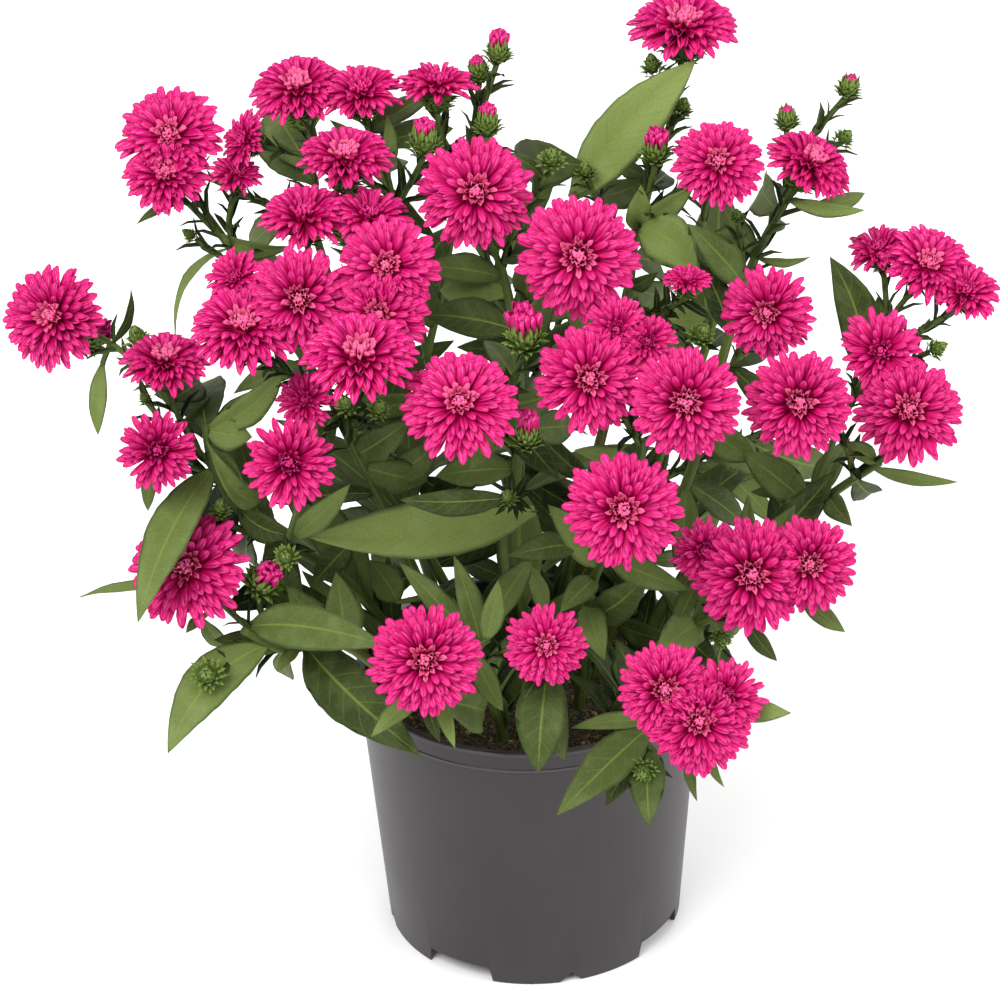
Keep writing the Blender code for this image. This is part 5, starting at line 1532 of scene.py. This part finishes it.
def whorl_tree():
    """Blades round an axis, each a golden turn on from the last, from the outermost or lowest inwards."""
    tree, given = new_tree("blades by the golden turn", WHORL_INPUTS)
    number = tree.add("GeometryNodeInputIndex")
    seed = given["Seed"]
    share = number / (given["Count"] - 1.0)
    rest = 1.0 - share
    inner = rest ** given["Crowding"]

    def between(label, mix):
        start, end = given[label + " From"], given[label + " To"]
        return end + (start - end) * mix

    wobble = [random_number(tree, -1.0, 1.0, seed + step, number) * given["Spread"] for step in range(5)]
    turn = number * GOLDEN_TURN + wobble[0] * 0.9
    root_radius = between("Root Radius", rest)
    root_height = between("Root Height", rest)
    rise = between("Tip Height", inner ** given["Doming"]) - root_height
    out = between("Tip Radius", inner) - root_radius
    length = (rise * rise + out * out) ** 0.5 * (1.0 + wobble[1] * 0.5)
    tilt = rise.math("ARCTAN2", out) + wobble[2]
    flat = {0: turn.math("COSINE") * root_radius, 1: turn.math("SINE") * root_radius, 2: root_height}
    place = tree.add("ShaderNodeCombineXYZ", None, flat)
    facing = tree.add("ShaderNodeCombineXYZ", None, {0: wobble[3] * 1.4, 1: tilt * -1.0, 2: turn})
    width = between("Width", rest) * (1.0 + wobble[4] * 0.8)
    size = tree.add("ShaderNodeCombineXYZ", None, {0: length, 1: width, 2: length})
    points = tree.add("GeometryNodePoints", None, {"Count": given["Count"], "Position": place})
    kind = (share * given["Kinds"] * 0.999).math("FLOOR")
    return close_tree(tree, given, points, kind, facing, size, 0.0)


CRUMB_INPUTS = {
    "Ground": "Geometry",
    "Finish": "Material",
    "Members": "Collection",
    "Density": "Float",
    "Smallest": "Float",
    "Largest": "Float",
    "Seed": "Int",
}


def crumb_tree():
    """Crumbs strewn over the upward faces of the ground."""
    tree, given = new_tree("crumbs strewn on the soil", CRUMB_INPUTS)
    seed = given["Seed"]
    normal = tree.add("GeometryNodeInputNormal")
    upward = tree.add("ShaderNodeSeparateXYZ", None, {"Vector": normal}, out="Z")
    test = {"data_type": "FLOAT", "operation": "GREATER_THAN"}
    on_top = tree.add("FunctionNodeCompare", test, {"A": upward, "B": 0.5}, out="Result")
    values = {"Mesh": given["Ground"], "Selection": on_top, "Density": given["Density"], "Seed": seed}
    points = tree.add("GeometryNodeDistributePointsOnFaces", None, values)
    number = tree.add("GeometryNodeInputIndex")
    turns = {axis: random_number(tree, 0.0, math.tau, seed + axis, number) for axis in range(3)}
    turn = tree.add("ShaderNodeCombineXYZ", None, turns)
    size = random_number(tree, given["Smallest"], given["Largest"], seed + 5, number)
    kind = random_number(tree, 0.0, CRUMB_KINDS - 0.01, seed + 7, number).math("FLOOR")
    return close_tree(tree, given, points, kind, turn, size, 0.0)


def grown(tree, carrier_mesh, *values):
    """The mesh that a geometry tree makes with these values for its inputs, its modifier gone."""
    carrier = stand("carrier", carrier_mesh)
    grow = carrier.modifiers.new("grow", "NODES")
    grow.node_group = tree
    inputs = [item for item in tree.interface.items_tree if item.in_out == "INPUT"]
    inputs = [item for item in inputs if item.socket_type != "NodeSocketGeometry"]
    for item, value in zip(inputs, values, strict=True):
        grow[item.identifier] = value
    bpy.context.view_layer.update()
    graph = bpy.context.evaluated_depsgraph_get()
    mesh = bpy.data.meshes.new_from_object(carrier.evaluated_get(graph))
    bpy.data.objects.remove(carrier)
    return mesh


def head_place(head):
    """What moves a whorl, which stands on the origin along +Z, to the axis of a bloom or bud."""
    return Matrix.Translation(head.place) @ head.way.to_track_quat("Z", "Y").to_matrix().to_4x4()


# A whorl of blades: their kinds, how many, where they start and end and how wide they are, each for the
# outermost and the innermost, as radius and height. Crowding draws them to the rim, doming rounds the
# whorl, and spread is how much they vary.
Whorl = namedtuple("Whorl", "kinds count root tip width crowding doming spread")


def add_whorl(piece, tree, head, seed, look, members, whorl):
    """Adds a whorl's blades to a piece, round a head's axis."""
    sizes = (*zip(*whorl.root), *zip(*whorl.tip), whorl.width)
    mesh = grown(
        tree, bpy.data.meshes.new("nothing"), look, members, whorl.kinds, whorl.count, seed,
        *(size for pair in sizes for size in pair), whorl.crowding, whorl.doming, whorl.spread,
    )
    piece.add(skin_of(mesh, head_place(head)), look)
    bpy.data.meshes.remove(mesh)


def turned_skin(head, profile, sides, marks):
    """A closed skin turned round a head's axis from a profile of radius and height."""
    place = np.array(head_place(head))
    rings = [level_ring(*row, sides) @ place[:3, :3].T + place[:3, 3] for row in profile]
    return lofted(rings, np.broadcast_to(np.array(marks, float), (len(profile), sides, 4)))


def add_bloom(piece, tree, head, seed, stores, looks):
    """A full double bloom: a dark heart, petals from the rim inwards, and quills in the middle."""
    radius = head.across / 2
    layers = head.layers
    draw = random.Random(seed)
    dome = radius * draw.uniform(*PETAL_DOME_SHARES)
    rim = radius * draw.uniform(*PETAL_RIM_SHARES[layers])
    root = ((0.14 * radius, 0.03 * radius), (0.17 * radius, 0.22 * radius))
    tip = ((BLOOM_REACH_SHARE * radius, rim), (0.40 * radius, dome))
    width = [share * radius for share in PETAL_WIDTH_SHARES]
    loose = PETAL_SPREADS[layers] * draw.uniform(0.8, 1.3)
    petals = Whorl(3, PETAL_COUNTS[layers], root, tip, width, 0.48, 2.0, loose)
    add_whorl(piece, tree, head, seed, looks["petal"], stores["petals"], petals)
    root = ((0.10 * radius, 0.22 * radius), (0.14 * radius, 0.24 * radius))
    tip = ((0.34 * radius, dome * 0.92), (-0.01 * radius, dome * 1.12))
    quills = Whorl(1, QUILLS, root, tip, (0.085 * radius, 0.090 * radius), 0.75, 1.0, 0.20)
    quill = looks["quill" if layers == 3 else "petal"]
    add_whorl(piece, tree, head, seed + 50, quill, stores["quills"], quills)
    heart = [(out * radius, up * radius) for out, up in BLOOM_HEART]
    piece.add(turned_skin(head, heart, 16, (0.05, 0.0, 0.2, 0.0)), looks["petal"])


def build_blooms(heads, tree, stores, looks):
    """One piece for each node of blooms."""
    for number, (name, group) in enumerate(heads.items()):
        piece = Piece()
        for step, head in enumerate(group):
            add_bloom(piece, tree, head, 100 * number + 10 * step, stores, looks)
        settle(piece.make("petals_" + name), "bloom_" + name)


def settle(piece, node):
    """Makes a finished piece stand for its node and move with the part."""
    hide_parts(node)
    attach(piece, "root")


def tube_skin(points, radii, draw):
    """A round stem along points, with its ends closed."""
    ahead = [(end - start).normalized() for start, end in zip(points, points[1:])]
    ways = [ahead[0]] + [(one + two).normalized() for one, two in zip(ahead, ahead[1:])] + [ahead[-1]]
    side = ways[0].orthogonal().normalized()
    rings, marks = [], []
    tint = draw.random()
    for number, (point, way, radius) in enumerate(zip(points, ways, radii)):
        side = (side - way * side.dot(way)).normalized()
        other = way.cross(side)
        ring, mark = [], []
        for step in range(TUBE_SIDES):
            turn = step * math.tau / TUBE_SIDES
            ring.append(point + (side * math.cos(turn) + other * math.sin(turn)) * radius)
            mark.append((number / (len(points) - 1), step / TUBE_SIDES, tint, 0.0))
        rings.append(ring)
        marks.append(mark)
    return lofted([[tuple(spot) for spot in ring] for ring in rings], marks)


def refined(points, radii):
    """A smooth run through a tube's points with a ring every few millimetres."""
    length = sum((end - start).length for start, end in zip(points, points[1:]))
    steps = max(2, round(length / (len(points) - 1) / TUBE_STEP))
    run = smooth(points, steps)
    count, last = len(radii) - 1, len(run) - 1
    spots = [number / last * count for number in range(last + 1)]
    return run, [float(np.interp(spot, range(count + 1), radii)) for spot in spots]


def leaf_skin(blade, tint, draw):
    """A lance-shaped leaf with a grooved midrib, a wavy, faintly toothed rim and a thin edge."""
    base, tip, face = (np.array(vector) for vector in (blade.base, blade.tip, blade.face))
    run = tip - base
    length = float(np.linalg.norm(run))
    edge = np.cross(run / length, face)
    large = length > LARGE_LEAF
    stations, columns = LEAF_STATIONS[large], LEAF_COLUMNS[large]
    teeth = LEAF_TEETH if large else 0
    phase = (draw.uniform(0, math.tau), draw.uniform(0, math.tau))
    wave = blade.width * draw.uniform(0.02, 0.05)
    top = np.linspace(-1, 1, columns + 1)
    sides = np.concatenate([top, top[-2:0:-1]])
    under = np.concatenate([np.zeros(len(top)), np.ones(columns - 1)])
    under[[0, columns]] = 0.4
    rings, marks = [], []
    for along in np.linspace(0.0, 1.0, stations):
        share = blade_share(along) if along < 1 else 0.02
        notch = (along * teeth) % 1.0 if teeth else 0.5
        half = blade.width / 2 * share * (1 + 0.05 * (notch - 0.5) * (0.15 < along < 0.85))
        bend = 4 * along * (1 - along)
        middle = base + run * along + face * (blade.arch * bend) + edge * (blade.sway * bend)
        lift = half * BLADE_FOLD * np.abs(sides) ** 1.15
        ripple = np.where(sides > 0, np.sin(along * 16 + phase[0]), np.sin(along * 14 + phase[1]))
        lift += wave * ripple * np.abs(sides) ** 2.5 * bend
        groove = 0.00035 * np.exp(-((sides / 0.16) ** 2)) * min(1.0, half / 0.004)
        thick = LEAF_RIM_THICKNESS + (LEAF_MIDDLE_THICKNESS - LEAF_RIM_THICKNESS) * (1 - np.abs(sides))
        height = lift + thick * (0.5 - under) - groove * (1 + 0.6 * under)
        rings.append(middle + np.outer(half * sides, edge) + np.outer(height, face))
        marks.append(np.stack([np.full(len(sides), along), sides, np.full(len(sides), tint), under], 1))
    return lofted(rings, marks)


def add_cup(piece, tree, head, seed, stores, looks):
    """The green cup under a bloom, wrapped in small pointed leaves."""
    wide = head.across * CUP_RADIUS_SHARE
    deep = head.across * CUP_DEPTH_SHARE
    core = ((0.0009, -deep), (wide * 0.45, -deep * 0.84), (wide * 0.70, -deep * 0.55), (wide * 0.85, -0.0005))
    piece.add(turned_skin(head, core, 14, (0.1, 0.5, 0.3, 0.0)), looks["bract"])
    scale = head.across / 0.040
    reach = BRACT_LENGTH * max(scale, 0.6)
    root = ((wide * 0.84, -deep * 0.20), (wide * 0.36, -deep * 0.94))
    tip = ((wide * 0.94 + reach * 0.60, deep * 0.02), (wide * 0.34 + reach * 0.9, -deep * 0.72))
    width = (BRACT_WIDTH * scale, BRACT_WIDTH * scale * 0.9)
    wrap = Whorl(2, BRACTS_PER_CUP, root, tip, width, 1.0, 1.0, 0.16)
    add_whorl(piece, tree, head, seed, looks["bract"], stores["bracts"], wrap)


def add_bud(piece, tree, head, seed, stores, looks):
    """A closed bud in its small leaves. Some show their petals as a pink brush."""
    wide = head.across / 2
    brush = head.brush
    size = wide * (1.0 if brush else 0.78)
    core = [(out * size, up * size) for out, up in BUD_CORE]
    piece.add(turned_skin(head, core, 12, (0.1, 0.5, 0.1, 0.0)), looks["bract"])
    top = (wide * 0.68, wide * 0.26) if brush else (wide * 0.38, wide * 0.55)
    root = ((wide * 0.46, -wide * 0.90), top)
    tip = ((wide * 1.08, -wide * 0.38), (wide * (0.50 if brush else 0.04), wide * 1.04))
    wrap = Whorl(2, BRACTS_PER_BUD, root, tip, (wide * 0.42, wide * 0.38), 0.90, 1.0, 0.10)
    add_whorl(piece, tree, head, seed, looks["bract"], stores["bracts"], wrap)
    if brush:
        spread = wide * min(0.78, 0.36 + 0.36 * brush)
        root = ((spread * 0.70, wide * 0.15), (wide * 0.05, wide * 0.40))
        tip = ((spread, wide * (0.4 + 0.7 * brush)), (wide * 0.12, wide * (0.7 + 0.8 * brush)))
        tuft = Whorl(1, QUILLS_PER_BRUSH, root, tip, (wide * 0.36, wide * 0.26), 0.6, 1.0, 0.16)
        add_whorl(piece, tree, head, seed + 5, looks["petal"], stores["quills"], tuft)


def build_stems(plants, tree, leaflets, stores, looks):
    """One piece for each leafy stem."""
    for number, (name, plant) in enumerate(plants.items()):
        draw = random.Random(FILL_SEED + number)
        piece = Piece()
        for step, tube in enumerate(plant.tubes):
            if tube.kind == "stem":
                piece.add(tube_skin(*refined(tube.points, tube.radii), draw), looks["stem"])
                continue
            piece.add(tube_skin(*bare_stalk(tube), draw), looks["stem"])
            add_end = add_cup if tube.kind == "cup" else add_bud
            add_end(piece, tree, tube.head, 1000 + 100 * number + 2 * step, stores, looks)
        for blade in plant.blades:
            piece.add(leaf_skin(blade, draw.uniform(*blade.tones), draw), looks["leaf"])
        values = (stores["leaflets"], LEAFLET_EVERY, *LEAFLET_LENGTH, number)
        mesh = grown(leaflets, stalk_lines(plant), looks["leaf"], *values)
        piece.add(skin_of(mesh), looks["leaf"])
        settle(piece.make("leafy_stem_" + name), "stem_" + name)


def bare_stalk(tube):
    """The smooth run and radii of a stalk, from its fork to below its cup or bud."""
    return refined(tube.points[:3], tube.radii[:3])


def stalk_lines(plant):
    """Every stalk's run as a line of edges, to grow leaflets along."""
    lines = bpy.data.meshes.new("stalk lines")
    points, edges = [], []
    for tube in plant.tubes:
        if tube.kind != "stem":
            run = bare_stalk(tube)[0][:-1]
            edges += [(len(points) + step, len(points) + step + 1) for step in range(len(run) - 1)]
            points += [tuple(point) for point in run]
    lines.from_pydata(points, edges, [])
    return lines


def build_pot(look):
    """The pot, turned finely, with a crisp rim band, and its skirt and drain holes cut out."""
    rim, top, under = RIM_RADIUS, POT_HEIGHT, POT_HEIGHT - RIM_BAND

    def wall(height):
        return FOOT_RADIUS + (rim - RIM_STEP - FOOT_RADIUS) * height / under

    profile = [
        (rim - LIP_WIDTH, top - 0.0009),
        (rim - LIP_WIDTH + 0.0005, top - 0.0003),
        (rim - 0.0014, top),
        (rim - 0.0006, top),
        (rim - 0.0001, top - 0.0004),
        (rim, top - 0.0009),
        (rim - 0.0001, top - 0.0013),
        (rim - 0.00035, top - 0.0015),
        (rim - 0.00035, under + 0.0012),
        (rim - 0.0001, under + 0.0010),
        (rim, under + 0.0006),
        (rim - 0.0001, under + 0.0002),
        (rim - 0.0006, under - 0.0001),
        (rim - RIM_STEP, under - 0.0005),
        (wall(0.060), 0.060),
        (wall(0.030), 0.030),
        (wall(0.0008), 0.0008),
        (FOOT_RADIUS - 0.0002, 0.0002),
        (FOOT_RADIUS - 0.0005, 0.0),
        (FOOT_RADIUS - WALL, 0.0),
        (FOOT_RADIUS - WALL, BASE_PLATE_FROM),
        (0.0, BASE_PLATE_FROM),
        (0.0, BASE_PLATE_FROM + WALL),
        (FOOT_RADIUS - WALL + 0.0006, BASE_PLATE_FROM + WALL),
        (rim - RIM_STEP - WALL, under),
        (rim - LIP_WIDTH, top - 0.0040),
    ]
    skin = bmesh.new()
    ring = [skin.verts.new((radius, 0.0, height)) for radius, height in profile]
    for one, two in zip(ring, ring[1:] + ring[:1]):
        if one.co.x > 0 or two.co.x > 0:
            skin.edges.new((one, two))
    edges = skin.verts[:] + skin.edges[:]
    turn = {"cent": (0, 0, 0), "axis": (0, 0, 1), "angle": math.tau, "steps": POT_FINE_STEPS}
    bmesh.ops.spin(skin, geom=edges, **turn)
    bmesh.ops.remove_doubles(skin, verts=skin.verts, dist=0.00002)
    bmesh.ops.recalc_face_normals(skin, faces=skin.faces)
    bmesh.ops.translate(skin, verts=skin.verts, vec=POT_AXIS)
    pot = stand("pot_shell", mesh_of("pot_shell", skin))
    cutters = bpy.data.collections.new("pot cutters")
    bpy.context.scene.collection.children.link(cutters)
    side = SKIRT_NOTCH_HEIGHT / math.sqrt(2)
    slot = (SKIRT_CUT_DEPTH, SKIRT_SLOT_HALF_WIDTH, SKIRT_SLOT_HEIGHT)
    notch = (SKIRT_CUT_DEPTH, side, side)
    eighth = math.radians(45)
    for quarter in range(4):
        front = math.radians(SKIRT_PATTERN_TURN + 90 * quarter - 90)
        cuts = ((front + eighth, slot, 0.86, 0.0), (front, notch, 1.0, eighth))
        for turn, half, top_share, roll in cuts:
            out = outward(turn) * (FOOT_RADIUS - 0.001)
            turned = Matrix.Rotation(turn, 4, "Z") @ Matrix.Rotation(roll, 4, "X")
            add_cutter(cutters, block(half, top_share), Matrix.Translation(POT_AXIS + out) @ turned)
    for number in range(DRAIN_HOLES):
        out = outward(math.tau * number / DRAIN_HOLES) * DRAIN_RING_RADIUS
        hole = bmesh.new()
        ends = {"radius1": DRAIN_HOLE_RADIUS, "radius2": DRAIN_HOLE_RADIUS}
        bmesh.ops.create_cone(hole, cap_ends=True, segments=24, depth=0.018, **ends)
        add_cutter(cutters, hole, Matrix.Translation(POT_AXIS + out + Vector((0.0, 0.0, 0.011))))
    cut = pot.modifiers.new("cut", "BOOLEAN")
    cut.operation = "DIFFERENCE"
    cut.operand_type = "COLLECTION"
    cut.collection = cutters
    bpy.context.view_layer.update()
    mesh = bpy.data.meshes.new_from_object(pot.evaluated_get(bpy.context.evaluated_depsgraph_get()))
    pot.modifiers.clear()
    pot.data = mesh
    for cutter in list(cutters.objects):
        bpy.data.objects.remove(cutter)
    bpy.data.collections.remove(cutters)
    mesh.materials.clear()
    mesh.materials.append(look)
    mesh.shade_smooth()
    mesh.set_sharp_from_angle(angle=math.radians(32))
    settle(pot, "pot")


def block(half, top_share):
    """A block about the origin, whose top may be shorter across than its foot."""
    skin = bmesh.new()
    bmesh.ops.create_cube(skin, size=2.0)
    for vert in skin.verts:
        share = top_share if vert.co.z > 0 else 1.0
        vert.co = Vector((vert.co.x * half[0], vert.co.y * half[1] * share, vert.co.z * half[2]))
    return skin


def add_cutter(cutters, skin, place):
    mesh = mesh_of("cutter", skin)
    mesh.transform(place)
    cutters.objects.link(bpy.data.objects.new("cutter", mesh))


def build_soil(look, crumbs, store):
    """The soil, lumpy on top, with crumbs strewn over it."""
    floor = BASE_PLATE_FROM + WALL + FIT_GAP
    slope = (RIM_RADIUS - RIM_STEP - FOOT_RADIUS) / (POT_HEIGHT - RIM_BAND)
    foot = FOOT_RADIUS - WALL - FIT_GAP * 2
    edge = foot + slope * (SOIL_TOP - floor)
    sides = 96
    rings = []
    levels = [(foot, floor), (edge, SOIL_TOP - 0.001)]
    levels += [(edge * share, None) for share in np.linspace(0.985, 0.03, 22)]
    for radius, height in levels:
        ring = level_ring(radius, height or SOIL_TOP, sides) + np.array(POT_AXIS)
        if height is None:
            for point in ring:
                lump = noise.fractal(Vector(point) * 95.0, 1.0, 2.0, 4) * 0.0017
                point[2] += max(-0.0035, min(SOIL_WAVE, lump - 0.0006))
        rings.append(ring)
    skin = lofted(rings, np.broadcast_to(np.array((0.0, 0.0, 0.3, 0.0)), (len(rings), sides, 4)))
    piece = Piece()
    piece.add(skin, look)
    ground = piece.make("ground")
    strewn = grown(crumbs, ground.data, look, store, CRUMBS_PER_SQUARE_METRE, *CRUMB_SIZE, FILL_SEED)
    bpy.data.objects.remove(ground)
    piece.add(skin_of(strewn), look)
    settle(piece.make("peat_with_crumbs"), "soil")


def crumb_kinds(store):
    """Three rough little lumps, one across."""
    for number in range(CRUMB_KINDS):
        lump = bmesh.new()
        bmesh.ops.create_icosphere(lump, subdivisions=1, radius=0.5)
        for vert in lump.verts:
            push = 1 + 0.5 * noise.noise(vert.co * 2.3 + Vector((number * 7.0, 3.0, 1.0)))
            vert.co = Vector((vert.co.x * (1.0 + 0.5 * number), vert.co.y * 0.8, vert.co.z * 0.6)) * push
        store.objects.link(bpy.data.objects.new("crumb " + "abc"[number], mesh_of("lump", lump)))


def build_stage():
    """A pale plain floor, soft lights and the camera."""
    skin = bmesh.new()
    bmesh.ops.create_grid(skin, x_segments=2, y_segments=2, size=6.0)
    floor = stand("floor", mesh_of("floor", skin))
    floor.data.materials.append(finish_of("pale floor", floor_paint, Roughness=0.9))
    for name, place, size, power in LIGHTS:
        lamp = bpy.data.lights.new(name, "AREA")
        lamp.shape = "DISK"
        lamp.size = size
        lamp.energy = power
        light = stand(name, lamp)
        light.location = place
        light.rotation_euler = (LIGHTS_AIM - light.location).to_track_quat("-Z", "Y").to_euler()
    world = bpy.data.worlds.new("studio")
    world.use_nodes = True
    glow = world.node_tree.nodes["Background"].inputs
    glow["Color"].default_value = (1.0, 1.0, 1.0, 1.0)
    glow["Strength"].default_value = WORLD_STRENGTH
    bpy.context.scene.world = world
    data = bpy.data.cameras.new("camera")
    data.sensor_width = CAMERA_SENSOR
    data.lens = VIEW_FOCUS / PICTURE_WIDTH * CAMERA_SENSOR
    data.clip_end = 50.0
    camera = stand("camera", data)
    columns = Matrix((RIGHT, UP, -FORWARD)).transposed().to_4x4()
    camera.matrix_world = Matrix.Translation(VIEW_POINT) @ columns
    bpy.context.scene.camera = camera
    bpy.context.scene.view_settings.view_transform = "Standard"


def main():
    looks = {
        "petal": finish_of("petal pink", petal_paint, Specular_IOR_Level=0.12),
        "quill": finish_of("quill cream", quill_paint, Roughness=0.5, Specular_IOR_Level=0.15),
        "leaf": finish_of("leaf green", leaf_paint, Specular_IOR_Level=0.12),
        "stem": finish_of("stem green", stem_paint, Specular_IOR_Level=0.25),
        "bract": finish_of("bract green", bract_paint, Specular_IOR_Level=0.2),
    }
    makers = (petal_kinds, quill_kinds, bract_kinds, leaflet_kinds, crumb_kinds)
    stores = {}
    for name, fill in zip(("petals", "quills", "bracts", "leaflets", "crumbs"), makers):
        stores[name] = bpy.data.collections.new(name)
        fill(stores[name])
    plants, heads = lay_out()
    grow_thicket(plants, heads)
    tree = whorl_tree()
    build_blooms(heads, tree, stores, looks)
    build_stems(plants, tree, leaflet_tree(), stores, looks)
    build_pot(finish_of("pot plastic", pot_paint, Specular_IOR_Level=0.42))
    build_soil(finish_of("peat", soil_paint), crumb_tree(), stores["crumbs"])
    for store in stores.values():
        for kind in list(store.objects):
            bpy.data.objects.remove(kind)
        bpy.data.collections.remove(store)
    build_stage()


main()
